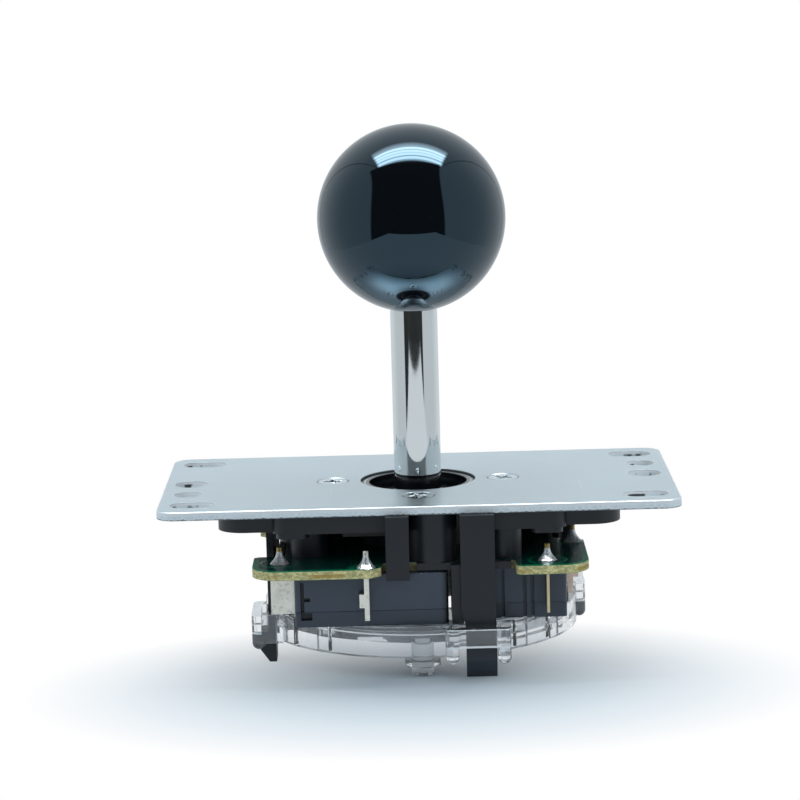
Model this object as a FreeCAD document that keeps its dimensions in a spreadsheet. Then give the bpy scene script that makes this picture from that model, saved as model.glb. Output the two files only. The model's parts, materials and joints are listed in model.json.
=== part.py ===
import FreeCAD, Part

import os
import re

import Sketcher
from FreeCAD import Rotation, Vector

# Arcade joystick lever: ball, shaft, pivot, mounting plate, housing, four microswitches on a board
# and a clear gate. Millimetres, +Z up. The origin is the centre of the mounting plate's top face, +X runs
# along the plate and -Y is the front. Most of what hangs under the plate repeats four times, a quarter
# turn apart.

doc = FreeCAD.newDocument("JoystickLever")

# Driving dimensions
SIZES = [
    # Mounting plate
    ("plate_length", 95.0),
    ("plate_width", 53.0),
    ("plate_thickness", 1.6),
    ("plate_corner", 3.5),
    ("plate_edge_round", 0.4),
    ("slot_end_inset", 6.25),
    ("slot_side_inset", 6.5),
    ("slot_length", 8.1),
    ("slot_width", 5.0),
    ("end_hole_inset", 4.9),
    ("end_hole_bore", 6.1),
    ("side_hole_bore", 5.1),
    ("side_hole_step", 10.0),
    ("window_bore", 21.6),
    ("window_clearance", 0.2),
    # Countersunk screws
    ("screw_circle", 16.0),
    ("screw_head", 6.2),
    ("screw_head_height", 1.45),
    ("screw_thread", 3.0),
    ("screw_reach", 6.0),
    ("screw_clearance", 0.1),
    ("screw_cross", 3.0),
    ("screw_cross_width", 0.7),
    ("screw_cross_depth", 0.8),
    # Lever
    ("ball_diameter", 35.0),
    ("ball_height", 49.26),
    ("ball_flat_lift", 0.6),
    ("shaft_diameter", 8.8),
    ("shaft_shoulder", 1.05),
    ("shaft_chamfer", 0.25),
    ("stem_diameter", 6.0),
    ("stem_tail", 1.25),
    ("stem_thread_reach", 10.5),
    ("insert_diameter", 8.0),
    ("insert_length", 13.0),
    ("seat_gap", 0.05),
    # Pivot and its socket
    ("pivot_depth", 7.0),
    ("pivot_radius", 7.0),
    ("pivot_collar", 8.6),
    ("pivot_cut", 5.6),
    ("running_clearance", 0.05),
    ("socket_clearance", 0.1),
    ("socket_mouth", 11.8),
    ("socket_rim", 14.4),
    ("socket_rim_height", 1.0),
    ("well_bore", 18.4),
    ("well_floor", 3.4),
    ("well_rim", 0.4),
    # Centring parts
    ("seat_clearance", 0.15),
    ("seat_top", 4.0),
    ("seat_bore", 8.8),
    ("seat_hub", 15.2),
    ("seat_flange", 17.2),
    ("seat_flange_top", 5.2),
    ("seat_bottom", 6.4),
    ("spring_coil", 10.4),
    ("spring_wire", 0.9),
    ("spring_pitch", 1.75),
    ("spring_gap", 0.05),
    # Actuator and its clip
    ("actuator_diameter", 14.0),
    ("actuator_lead", 0.95),
    ("actuator_cup", 11.8),
    ("actuator_cup_depth", 5.2),
    ("actuator_floor_thickness", 1.4),
    ("nose_diameter", 9.0),
    ("nose_length", 3.5),
    ("clip_ring_diameter", 8.0),
    ("clip_ring_thickness", 0.8),
    ("clip_ring_groove", 4.6),
    ("clip_ring_mouth", 3.2),
    ("clip_ring_play", 0.05),
    # Housing
    ("flange_thickness", 3.3),
    ("ear_gap", 0.5),
    ("ear_side_inset", 3.9),
    ("ear_corner", 5.0),
    ("block_overhang", 0.1),
    ("block_inset", 1.3),
    ("block_corner", 2.5),
    ("pad_size", 5.8),
    ("pad_inset", 0.7),
    ("pad_corner", 1.5),
    ("pad_thickness", 0.85),
    ("neck_diameter", 25.2),
    ("neck_bore", 22.4),
    ("neck_roof", 9.2),
    ("standoff_height", 5.7),
    ("standoff_diameter", 7.0),
    ("standoff_along", 15.0),
    ("standoff_inset", 4.8),
    ("screw_boss", 6.0),
    ("front_boss", 8.7),
    ("front_boss_along", 2.35),
    ("front_boss_step", 5.85),
    ("recess_depth", 3.2),
    ("recess_gap", 0.05),
    ("ledge_thickness", 0.7),
    ("ledge_length", 14.0),
    ("ledge_inset", 4.7),
    ("ledge_drop", 0.9),
    ("finger_left", 6.2),
    ("finger_width", 4.2),
    ("finger_reach", 1.0),
    ("finger_thickness", 1.5),
    ("finger_gap", 0.2),
    ("clip_left", 7.2),
    ("clip_width", 6.2),
    ("clip_taper", 0.7),
    ("clip_gap", 0.5),
    ("clip_thickness", 1.3),
    ("clip_play", 1.4),
    ("barb_reach", 2.5),
    ("barb_land", 2.35),
    ("barb_drop", 3.5),
    ("barb_gap", 0.15),
    ("partition_step", 1.7),
    ("partition_thickness", 2.1),
    ("partition_bond", 0.3),
    ("partition_inner", 14.0),
    ("partition_gap", 0.2),
    ("shelf_left", -0.65),
    ("shelf_lap", 3.0),
    ("shelf_depth", 1.1),
    ("shelf_thickness", 1.3),
    # Switch board
    ("board_reach", 30.4),
    ("board_thickness", 1.6),
    ("board_end_corner", 5.0),
    ("board_corner", 1.2),
    ("board_bore", 22.8),
    ("notch_finger_gap", 0.9),
    ("notch_loop_gap", 1.2),
    ("notch_depth", 5.6),
    ("notch_slope", 1.9),
    # Microswitches
    ("switch_end_inset", 7.5),
    ("switch_right", 4.9),
    ("switch_height", 9.55),
    ("switch_cover_height", 2.8),
    ("switch_gap", 0.05),
    ("switch_wall", 1.0),
    ("switch_edge", 0.7),
    ("groove_width", 0.6),
    ("groove_depth", 0.85),
    ("groove_inset", 1.1),
    ("groove_foot", 1.3),
    ("end_groove_first", 4.5),
    ("end_groove_second", 8.5),
    ("end_groove_third", 9.9),
    ("end_groove_width", 0.55),
    ("plunger_play", 2.1),
    ("plunger_width", 2.0),
    ("plunger_height", 2.6),
    ("plunger_drop", 4.0),
    ("plunger_flange", 0.9),
    ("plunger_lip", 0.6),
    ("plunger_clearance", 0.08),
    ("plunger_travel", 1.0),
    ("plunger_rest", 0.5),
    ("blade_thickness", 0.25),
    ("blade_height", 2.0),
    ("blade_gap", 0.05),
    ("blade_inset", 1.0),
    # Terminals and solder
    ("terminal_thickness", 0.5),
    ("common_inset", 3.6),
    ("common_width", 4.4),
    ("common_height", 7.75),
    ("common_neck", 3.0),
    ("pin_diameter", 1.0),
    ("pin_height", 3.0),
    ("pin_root", 0.5),
    ("pin_clearance", 0.05),
    ("common_rise", 1.5),
    ("common_pin", 2.6),
    ("open_along", 9.8),
    ("open_inset", 2.1),
    ("open_step", 1.8),
    ("open_width", 2.0),
    ("open_thickness", 0.9),
    ("open_shoulder", 5.1),
    ("open_foot", 8.2),
    ("open_tail", 0.9),
    ("stub_drop", 3.3),
    ("stub_height", 2.5),
    ("stub_reach", 1.9),
    ("stub_shift", 1.35),
    ("solder_base", 3.7),
    ("solder_tip", 1.3),
    ("solder_height", 2.2),
    # Connector
    ("connector_end_inset", 18.0),
    ("connector_length", 10.8),
    ("connector_inset", 5.8),
    ("connector_depth", 5.4),
    ("connector_height", 4.4),
    ("connector_wall", 0.8),
    ("connector_back", 1.6),
    ("connector_pitch", 1.9),
    ("connector_pin", 0.6),
    # Clear gate
    ("gate_gap", 0.05),
    ("gate_height", 5.45),
    ("gate_inset", 1.1),
    ("gate_wall", 1.9),
    ("gate_rim_width", 3.4),
    ("gate_rim_thickness", 0.75),
    ("gate_ledge_width", 2.9),
    ("gate_ledge_bond", 0.3),
    ("gate_ledge_thickness", 1.0),
    ("gate_ledge_start", 12.0),
    ("gate_ledge_sweep", 282.0),
    ("gate_rib", 2.6),
    ("gate_rib_lift", 0.6),
    ("gate_rib_step", 1.0),
    ("gate_rib_angle", 36.7),
    ("loop_left_play", 0.6),
    ("loop_right_play", 0.1),
    ("loop_side", 2.5),
    ("loop_bar", 1.7),
    ("loop_height", 3.4),
    ("loop_root", 3.7),
    ("loop_post", 6.6),
    # Restrictor plate with its selector post
    ("restrictor_clearance", 0.15),
    ("restrictor_thickness", 1.9),
    ("restrictor_window", 18.8),
    ("restrictor_ring_outer", 40.0),
    ("restrictor_ring_inner", 37.0),
    ("restrictor_ring_height", 2.0),
    ("ring_bond", 0.5),
    ("selector_inset", 2.05),
    ("selector_diameter", 4.0),
    ("selector_drop", 3.8),
    ("selector_collar", 6.5),
    ("selector_collar_height", 1.1),
    ("selector_collar_drop", 0.9),
    # How far a cutting shape runs past what it cuts
    ("overrun", 1.0),
]
ALIASES = [name for name, value in SIZES]

sheet = doc.addObject("Spreadsheet::Sheet", "Sizes")
for row, (name, value) in enumerate(SIZES, start=1):
    sheet.set("A%d" % row, name)
    sheet.set("B%d" % row, str(value))
    sheet.setAlias("B%d" % row, name)
doc.recompute()

# Depths below the plate's top face, as text for the expressions
FLANGE_TOP = "plate_thickness"
FLANGE_BOTTOM = "(plate_thickness + flange_thickness)"
BOARD_TOP = "(plate_thickness + flange_thickness + standoff_height)"
BOARD_BOTTOM = "(plate_thickness + flange_thickness + standoff_height + board_thickness)"
SWITCH_TOP = "(%s + switch_gap)" % BOARD_BOTTOM
SWITCH_BOTTOM = "(%s + switch_height)" % SWITCH_TOP
SWITCH_SEAM = "(%s - switch_cover_height)" % SWITCH_BOTTOM
PLUNGER_MIDDLE = "(%s + plunger_drop)" % SWITCH_TOP
GATE_TOP = "(%s + gate_gap)" % SWITCH_BOTTOM
GATE_BOTTOM = "(%s + gate_height)" % GATE_TOP
LOOP_BOTTOM = "(%s + loop_height)" % GATE_TOP
BARB_TOP = "(%s + barb_gap)" % LOOP_BOTTOM
BARB_EDGE = "(%s + barb_land)" % BARB_TOP
CLIP_TIP = "(%s + barb_drop)" % BARB_EDGE
RESTRICTOR_TOP = "(%s + gate_rim_thickness + restrictor_clearance)" % GATE_TOP
RESTRICTOR_BOTTOM = "(%s + restrictor_thickness)" % RESTRICTOR_TOP

# Distances from the lever's axis. The board's reach leads, and what stands on it or holds it follows.
OPEN_OUT = "(board_reach - open_inset)"
SWITCH_OUTER = "(%s - open_step)" % OPEN_OUT
PLUNGER_TIP = "(actuator_diameter / 2 + plunger_play)"
SWITCH_INNER = "(%s + plunger_travel + plunger_rest)" % PLUNGER_TIP
SWITCH_LEFT = "(switch_end_inset - board_reach)"
COMMON_OUT = "(%s - common_inset)" % SWITCH_OUTER
CLIP_INNER = "(%s + clip_gap)" % SWITCH_OUTER
CLIP_OUTER = "(%s + clip_thickness)" % CLIP_INNER
LOOP_REACH = "(%s + clip_play + loop_bar)" % CLIP_OUTER
LOOP_LEFT = "(clip_left - loop_left_play - loop_side)"
LOOP_RIGHT = "(clip_left + clip_width + loop_right_play + loop_side)"
NOTCH_REACH = "(board_reach - notch_depth)"
NOTCH_LEFT = "(finger_left + notch_finger_gap)"
NOTCH_RIGHT = "(%s + notch_loop_gap)" % LOOP_RIGHT
BLOCK_HALF_LENGTH = "(%s + block_overhang)" % SWITCH_OUTER
BLOCK_HALF_WIDTH = "(%s - block_inset)" % SWITCH_OUTER
PARTITION_LEFT = "(clip_left - partition_step)"
CONNECTOR_LEFT = "(board_reach - connector_end_inset)"
CONNECTOR_INNER = "(board_reach - connector_inset)"
GATE_RADIUS = "(board_reach - gate_inset)"
GATE_INNER = "(%s - gate_wall)" % GATE_RADIUS
LOOP_ROOT = "(%s - loop_root)" % GATE_RADIUS
RESTRICTOR_RADIUS = "(%s - restrictor_clearance)" % GATE_INNER
SELECTOR_OUT = "(%s - selector_inset)" % RESTRICTOR_RADIUS

# Places on the plate, from its edges
SLOT_X = "(plate_length / 2 - slot_end_inset)"
SLOT_Y = "(plate_width / 2 - slot_side_inset)"
END_HOLE_X = "(plate_length / 2 - end_hole_inset)"
EAR_LENGTH = "(2 * (%s - slot_length / 2 - ear_gap))" % SLOT_X
EAR_WIDTH = "(plate_width - 2 * ear_side_inset)"

# The actuator's levels, from the plungers that it pushes
ACTUATOR_TOP = "(%s - actuator_lead)" % PLUNGER_MIDDLE
ACTUATOR_FLOOR = "(%s + actuator_cup_depth)" % ACTUATOR_TOP
ACTUATOR_SKIRT = "(%s + actuator_floor_thickness)" % ACTUATOR_FLOOR
NOSE_BOTTOM = "(%s + nose_length)" % ACTUATOR_SKIRT
GROOVE_TOP = "(%s + clip_ring_play)" % NOSE_BOTTOM
GROOVE_BOTTOM = "(%s + clip_ring_thickness + 2 * clip_ring_play)" % GROOVE_TOP
STEM_END = "(%s + stem_tail)" % GROOVE_BOTTOM

SIDES = ["front", "right", "back", "left"]


def expr(text):
    """The text with every size name pointing at its cell in the sheet."""
    return re.sub(r"[a-z_]+", lambda found: "Sizes." + found.group(0) if found.group(0) in ALIASES
                  else found.group(0), text)


def value_of(text):
    """The number that an expression gives now."""
    result = sheet.evalExpression(expr(text))
    return float(getattr(result, "Value", result))


def turned(x, y, turn):
    """The expressions of a point after so many quarter turns about Z."""
    pairs = [(x, y), ("-(%s)" % y, x), ("-(%s)" % x, "-(%s)" % y), (y, "-(%s)" % x)]
    return pairs[turn % 4]


def place(obj, x, y, z, turn=0):
    """Put an object's own corner or centre at x, y, z, then turn the whole about the lever's axis."""
    obj.Placement = FreeCAD.Placement(Vector(0, 0, 0), Rotation(Vector(0, 0, 1), 90.0 * turn))
    moved_x, moved_y = turned(x, y, turn)
    obj.setExpression("Placement.Base.x", expr(moved_x))
    obj.setExpression("Placement.Base.y", expr(moved_y))
    obj.setExpression("Placement.Base.z", expr(z))
    return obj


def box(name, length, width, height, x, y, z, turn=0):
    """Box with its low corner at x, y, z before the turn."""
    obj = doc.addObject("Part::Box", name)
    obj.setExpression("Length", expr(length))
    obj.setExpression("Width", expr(width))
    obj.setExpression("Height", expr(height))
    return place(obj, x, y, z, turn)


def cylinder(name, diameter, height, x, y, z, turn=0):
    """Upright cylinder with its lower face's centre at x, y, z before the turn."""
    obj = doc.addObject("Part::Cylinder", name)
    obj.setExpression("Radius", expr("(%s) / 2" % diameter))
    obj.setExpression("Height", expr(height))
    return place(obj, x, y, z, turn)


def cone(name, lower, upper, height, x, y, z, turn=0):
    """Upright cone frustum, by its two diameters."""
    obj = doc.addObject("Part::Cone", name)
    obj.setExpression("Radius1", expr("(%s) / 2" % lower))
    obj.setExpression("Radius2", expr("(%s) / 2" % upper))
    obj.setExpression("Height", expr(height))
    return place(obj, x, y, z, turn)


def sphere(name, radius, x, y, z, turn=0):
    """Full sphere by its radius."""
    obj = doc.addObject("Part::Sphere", name)
    obj.setExpression("Radius", expr(radius))
    return place(obj, x, y, z, turn)


def fuse(name, shapes):
    """One solid from several that touch or overlap."""
    obj = doc.addObject("Part::MultiFuse", name)
    obj.Shapes = shapes
    obj.Refine = True
    return obj


def cut(name, base, tools):
    """The base without the tools."""
    tool = tools[0] if len(tools) == 1 else fuse(name + "_tools", tools)
    obj = doc.addObject("Part::Cut", name)
    obj.Base = base
    obj.Tool = tool
    obj.Refine = True
    return obj


def group(name, shapes):
    """Several separate solids as one object."""
    obj = doc.addObject("Part::Compound", name)
    obj.Links = shapes
    return obj


def origin_plane(body, role):
    """One of a body's own origin planes."""
    for feature in body.Origin.OriginFeatures:
        if feature.Role == role:
            return feature
    raise RuntimeError("no origin plane " + role)


def outline(body, name, role, points):
    """Closed polygon sketch. Each corner is tied to the sheet by its two distances from the origin."""
    sketch = body.newObject("Sketcher::SketchObject", name)
    sketch.AttachmentSupport = [(origin_plane(body, role), "")]
    sketch.MapMode = "FlatFace"
    values = [(value_of(x), value_of(y)) for x, y in points]
    count = len(points)
    for i in range(count):
        start = Vector(values[i][0], values[i][1], 0)
        end = Vector(values[(i + 1) % count][0], values[(i + 1) % count][1], 0)
        sketch.addGeometry(Part.LineSegment(start, end), False)
    for i in range(count):
        sketch.addConstraint(Sketcher.Constraint("Coincident", i, 2, (i + 1) % count, 1))
    for i, (x, y) in enumerate(points):
        for kind, text, value in (("DistanceX", x, values[i][0]), ("DistanceY", y, values[i][1])):
            index = sketch.addConstraint(Sketcher.Constraint(kind, -1, 1, i, 1, value))
            sketch.setExpression("Constraints[%d]" % index, expr(text))
    return sketch


def prism(name, role, points, length):
    """Body with one padded polygon, for sizes given as expressions."""
    body = doc.addObject("PartDesign::Body", name)
    sketch = outline(body, name + "_outline", role, points)
    pad = body.newObject("PartDesign::Pad", name + "_pad")
    pad.Profile = sketch
    pad.setExpression("Length", expr(length))
    sketch.Visibility = False
    return body


def turned_solid(name, points):
    """Body of revolution about the lever's axis from (radius, height) corners."""
    body = doc.addObject("PartDesign::Body", name)
    sketch = outline(body, name + "_profile", "XZ_Plane", points)
    revolution = body.newObject("PartDesign::Revolution", name + "_turn")
    revolution.Profile = sketch
    revolution.ReferenceAxis = (sketch, ["V_Axis"])
    revolution.Angle = 360.0
    sketch.Visibility = False
    return body


def edges_where(shape, test):
    """Names of the edges that pass a test of their end points."""
    names = []
    for number, edge in enumerate(shape.Edges, start=1):
        ends = [vertex.Point for vertex in edge.Vertexes]
        if ends and test(edge, ends):
            names.append("Edge%d" % number)
    return names


def is_upright(edge, ends):
    """Whether a straight edge runs along Z."""
    if len(ends) != 2 or edge.Curve.TypeId != "Part::GeomLine":
        return False
    return abs(ends[0].x - ends[1].x) < 1e-6 and abs(ends[0].y - ends[1].y) < 1e-6


def is_end_corner(edge, ends):
    """Whether an upright edge stands on a diagonal, as far out along X as along Y."""
    return is_upright(edge, ends) and abs(abs(ends[0].x) - abs(ends[0].y)) < 1e-6


def is_notch_corner(edge, ends):
    """Whether an upright edge stands off the diagonals."""
    return is_upright(edge, ends) and not is_end_corner(edge, ends)


def at_height(height):
    """A test for edges that lie in one level plane."""
    return lambda edge, ends: all(abs(point.z - height) < 1e-6 for point in ends)


def round_edges(body, name, test, radius):
    """Fillet on the edges of a body's tip that pass a test."""
    doc.recompute()
    tip = body.Tip
    fillet = body.newObject("PartDesign::Fillet", name)
    fillet.Base = (tip, edges_where(tip.Shape, test))
    fillet.setExpression("Radius", expr(radius))
    return fillet


def rounded_slab(name, length, width, height, corner, z):
    """Centred slab with rounded upright edges, its underside at z."""
    half_x = "(%s) / 2" % length
    half_y = "(%s) / 2" % width
    points = [("-" + half_x, "-" + half_y), (half_x, "-" + half_y), (half_x, half_y),
              ("-" + half_x, half_y)]
    body = prism(name, "XY_Plane", points, height)
    round_edges(body, name + "_corners", is_upright, corner)
    place(body, "0", "0", z)
    return body


def slot(name, x, y):
    """Tool for one obround slot along X through the plate, by its centre."""
    straight = "(slot_length - slot_width)"
    height = "plate_thickness + 2 * overrun"
    low = "-plate_thickness - overrun"
    middle = box(name + "_middle", straight, "slot_width", height, "%s - %s / 2" % (x, straight),
                 "%s - slot_width / 2" % y, low)
    ends = [cylinder("%s_end_%d" % (name, side), "slot_width", height,
                     "%s + %d * %s / 2" % (x, sign, straight), y, low)
            for side, sign in enumerate((-1, 1))]
    return fuse(name, [middle] + ends)


# Mounting plate
def make_plate():
    """Steel plate with a round window, four slots, four round holes and four countersinks."""
    slab = rounded_slab("plate_slab", "plate_length", "plate_width", "plate_thickness", "plate_corner",
                        "-plate_thickness")
    round_edges(slab, "plate_slab_edge", at_height(value_of("plate_thickness")), "plate_edge_round")
    height = "plate_thickness + 2 * overrun"
    low = "-plate_thickness - overrun"
    tools = [cylinder("plate_window", "window_bore", height, "0", "0", low)]
    for number, (side_x, side_y) in enumerate(((-1, -1), (1, -1), (1, 1), (-1, 1))):
        tools.append(slot("plate_slot_%d" % number, "%d * %s" % (side_x, SLOT_X),
                          "%d * %s" % (side_y, SLOT_Y)))
    for number, side in enumerate((-1, 1)):
        x = "%d * %s" % (side, END_HOLE_X)
        tools.append(cylinder("plate_end_hole_%d" % number, "end_hole_bore", height, x, "0", low))
        tools.append(cylinder("plate_side_hole_%d" % number, "side_hole_bore", height, x,
                              "%d * side_hole_step" % side, low))
    for turn in range(4):
        head = "(screw_head + 3 * screw_clearance)"
        shank = "(screw_thread + 3 * screw_clearance)"
        tools.append(cone("plate_sink_%d" % turn, shank, head, "screw_head_height", "0", "-screw_circle",
                          "-screw_head_height", turn))
        tools.append(cylinder("plate_sink_bore_%d" % turn, shank, height, "0", "-screw_circle", low, turn))
        tools.append(cylinder("plate_sink_mouth_%d" % turn, head, "overrun", "0", "-screw_circle", "0",
                              turn))
    return cut("mounting_plate", slab, tools)


# Plate screws
def make_screw(turn):
    """Countersunk screw with a cross recess, its head just under the plate's face."""
    name = "screw_%d" % turn
    top = "-screw_clearance"
    head = cone(name + "_head", "screw_thread", "screw_head", "screw_head_height", "0", "-screw_circle",
                "%s - screw_head_height" % top, turn)
    shank = cylinder(name + "_shank", "screw_thread", "screw_reach", "0", "-screw_circle",
                     "%s - screw_head_height - screw_reach" % top, turn)
    blank = fuse(name + "_blank", [head, shank])
    bars = []
    for number, (long_x, long_y) in enumerate((("screw_cross", "screw_cross_width"),
                                               ("screw_cross_width", "screw_cross"))):
        bars.append(box("%s_bar_%d" % (name, number), long_x, long_y, "screw_cross_depth + overrun",
                        "-%s / 2" % long_x, "-screw_circle - %s / 2" % long_y,
                        "%s - screw_cross_depth" % top, turn))
    return cut(name, blank, bars)


# Housing
def make_clip(turn):
    """Long snap arm with its barb. The arm's left edge steps in where it enters the gate's loop."""
    name = "housing_clip_%d" % turn
    arm = prism(name, "YZ_Plane", [
        ("-" + CLIP_INNER, "-" + CLIP_TIP),
        ("-" + CLIP_INNER, "-" + FLANGE_TOP),
        ("-" + CLIP_OUTER, "-" + FLANGE_TOP),
        ("-" + CLIP_OUTER, "-" + BARB_TOP),
        ("-%s - barb_reach" % CLIP_OUTER, "-%s" % BARB_TOP),
        ("-%s - barb_reach" % CLIP_OUTER, "-%s" % BARB_EDGE),
        ("-" + CLIP_OUTER, "-" + CLIP_TIP),
    ], "clip_width")
    place(arm, "clip_left", "0", "0", turn)
    slope_top = "(%s - 4 * clip_taper)" % GATE_TOP
    taper = prism(name + "_taper", "XZ_Plane", [
        ("clip_left - overrun", "-%s - overrun" % CLIP_TIP),
        ("clip_left + clip_taper", "-%s - overrun" % CLIP_TIP),
        ("clip_left + clip_taper", "-" + GATE_TOP),
        ("clip_left", "-" + slope_top),
        ("clip_left - overrun", "-" + slope_top),
    ], "2 * barb_reach + clip_thickness + 2 * overrun")
    place(taper, "0", "-%s + barb_reach - overrun" % CLIP_INNER, "0", turn)
    foot = box(name + "_foot", "clip_width", "%s - neck_diameter / 2" % CLIP_INNER, "flange_thickness",
               "clip_left", "-" + CLIP_INNER, "-" + FLANGE_BOTTOM, turn)
    return fuse(name + "_whole", [cut(name + "_arm", arm, [taper]), foot])


def make_finger(turn):
    """Short flat finger that holds a switch's outer face."""
    name = "housing_finger_%d" % turn
    inner = "(%s + finger_gap)" % SWITCH_OUTER
    foot_depth = "%s + finger_thickness - neck_diameter / 2" % inner
    blade = box(name + "_blade", "finger_width", "finger_thickness",
                "%s + finger_reach - %s" % (SWITCH_TOP, FLANGE_TOP),
                "-finger_left", "-%s - finger_thickness" % inner, "-%s - finger_reach" % SWITCH_TOP, turn)
    foot = box(name + "_foot", "finger_width", foot_depth, "flange_thickness", "-finger_left",
               "-%s - finger_thickness" % inner, "-%s" % FLANGE_BOTTOM, turn)
    return fuse(name, [blade, foot])


def make_partition(turn):
    """Wall between two switches: it hangs from the clip in the board's notch and runs inward."""
    name = "housing_partition_%d" % turn
    bottom = "(%s - partition_gap)" % GATE_TOP
    front = "(%s + partition_bond)" % CLIP_INNER
    upper = box(name + "_upper", "partition_thickness",
                "%s - %s - partition_gap" % (front, NOTCH_REACH),
                "%s - %s - partition_gap" % (bottom, BOARD_TOP), PARTITION_LEFT, "-" + front, "-" + bottom,
                turn)
    web = box(name + "_web", "partition_thickness", "%s - partition_inner" % front,
              "%s - %s - partition_gap" % (bottom, BOARD_BOTTOM), PARTITION_LEFT, "-" + front, "-" + bottom,
              turn)
    return fuse(name, [upper, web])


def make_housing():
    """One moulding: flange with ears, well and socket for the pivot, bosses, fingers, clips, partitions."""
    ears = rounded_slab("housing_ears", EAR_LENGTH, EAR_WIDTH, "flange_thickness", "ear_corner",
                        "-%s" % FLANGE_BOTTOM)
    block = rounded_slab("housing_block", "2 * " + BLOCK_HALF_LENGTH, "2 * " + BLOCK_HALF_WIDTH,
                         "flange_thickness", "block_corner", "-" + FLANGE_BOTTOM)
    collar = cylinder("housing_collar", "window_bore - 2 * window_clearance",
                      "%s - well_rim" % FLANGE_BOTTOM, "0", "0", "-" + FLANGE_BOTTOM)
    neck = cylinder("housing_neck", "neck_diameter", "standoff_height", "0", "0", "-%s" % BOARD_TOP)
    solids = [ears, block, collar, neck]
    ledge_out = "(%s - ledge_inset)" % BLOCK_HALF_WIDTH
    bosses = []
    bores = []
    for turn in range(4):
        solids.append(cylinder("housing_standoff_%d" % turn, "standoff_diameter", "standoff_height",
                               "standoff_along", "-%s + standoff_inset" % BLOCK_HALF_WIDTH,
                               "-" + BOARD_TOP, turn))
        solids.append(cylinder("housing_screw_boss_%d" % turn, "screw_boss", "standoff_height", "0",
                               "-screw_circle", "-%s" % BOARD_TOP, turn))
        pad = rounded_slab("housing_pad_%d" % turn, "pad_size", "pad_size", "pad_thickness", "pad_corner",
                           "0")
        along = "-%s + pad_size / 2 + pad_inset" % BLOCK_HALF_LENGTH
        across = "-%s + pad_size / 2" % BLOCK_HALF_WIDTH
        place(pad, along if turn % 2 == 0 else across, across if turn % 2 == 0 else along,
              "-%s - pad_thickness" % FLANGE_BOTTOM, turn)
        solids.append(pad)
        solids.append(box("housing_ledge_%d" % turn, "ledge_length", "%s - neck_diameter / 3" % ledge_out,
                          "ledge_thickness", "-ledge_length", "-" + ledge_out,
                          "-%s - ledge_drop - ledge_thickness" % FLANGE_BOTTOM, turn))
        solids.append(make_finger(turn))
        solids.append(make_clip(turn))
        solids.append(make_partition(turn))
        solids.append(box("housing_shelf_%d" % turn, "clip_left + clip_width + shelf_lap - shelf_left",
                          "shelf_depth", "shelf_thickness", "shelf_left",
                          "-%s - partition_gap - shelf_depth" % NOTCH_REACH,
                          "-%s - shelf_thickness" % BOARD_TOP, turn))
        bores.append(cylinder("housing_screw_hole_%d" % turn, "screw_thread + 2 * screw_clearance",
                              "screw_head_height + screw_reach + screw_clearance", "0",
                              "-screw_circle", "-screw_head_height - screw_reach - screw_clearance", turn))
        bosses.append(cylinder("housing_front_boss_%d" % turn, "front_boss",
                               "standoff_height + flange_thickness", "front_boss_along",
                               "-screw_circle - front_boss_step",
                               "-%s" % BOARD_TOP, turn))
    for turn in (0, 2):
        bores.append(box("housing_recess_%d" % turn,
                         "finger_left - finger_width + clip_left - 2 * recess_gap",
                         "recess_depth + overrun", "flange_thickness + 2 * overrun",
                         "-finger_left + finger_width + recess_gap", "-%s - overrun" % BLOCK_HALF_WIDTH,
                         "-%s - overrun" % FLANGE_BOTTOM, turn))
    blank = fuse("housing_blank", solids)
    socket_radius = "(pivot_radius + socket_clearance)"
    bores.append(cylinder("housing_well", "well_bore", "well_floor + overrun", "0", "0", "-well_floor"))
    bores.append(cylinder("housing_mouth", "socket_mouth", "pivot_depth", "0", "0", "-pivot_depth"))
    bores.append(sphere("housing_socket", socket_radius, "0", "0", "-pivot_depth"))
    bores.append(cylinder("housing_throat", "2 * %s" % socket_radius,
                          "neck_roof - pivot_depth + overrun", "0", "0",
                          "-neck_roof - overrun"))
    bores.append(cylinder("housing_cavity", "neck_bore", "%s - neck_roof + overrun" % BOARD_TOP, "0", "0",
                          "-%s - overrun" % BOARD_TOP))
    hollow = cut("housing_hollow", blank, bores)
    rim_ring = cylinder("housing_rim_ring", "socket_rim", "socket_rim_height", "0", "0", "-well_floor")
    rim_mouth = cylinder("housing_rim_mouth", "socket_mouth", "socket_rim_height + 2 * overrun", "0", "0",
                         "-well_floor - overrun")
    rim_ball = sphere("housing_rim_ball", socket_radius, "0", "0", "-pivot_depth")
    rim = cut("housing_rim", rim_ring, [rim_mouth, rim_ball])
    return fuse("base_housing", [hollow, rim] + bosses)


# Lever
def make_shaft():
    """Chrome rod with a thinner stem below it and a threaded end inside the ball, turned about Z."""
    ball_seat = "(ball_height - ball_diameter / 2 + ball_flat_lift)"
    return turned_solid("shaft", [
        ("0", "-" + STEM_END),
        ("stem_diameter / 2 - shaft_chamfer", "-" + STEM_END),
        ("stem_diameter / 2", "-%s + shaft_chamfer" % STEM_END),
        ("stem_diameter / 2", "-" + GROOVE_BOTTOM),
        ("clip_ring_groove / 2", "-" + GROOVE_BOTTOM),
        ("clip_ring_groove / 2", "-" + GROOVE_TOP),
        ("stem_diameter / 2", "-" + GROOVE_TOP),
        ("stem_diameter / 2", "shaft_shoulder"),
        ("shaft_diameter / 2 - shaft_chamfer", "shaft_shoulder"),
        ("shaft_diameter / 2", "shaft_shoulder + shaft_chamfer"),
        ("shaft_diameter / 2", ball_seat),
        ("stem_diameter / 2", ball_seat),
        ("stem_diameter / 2", "%s + stem_thread_reach" % ball_seat),
        ("0", "%s + stem_thread_reach" % ball_seat),
    ])


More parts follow.
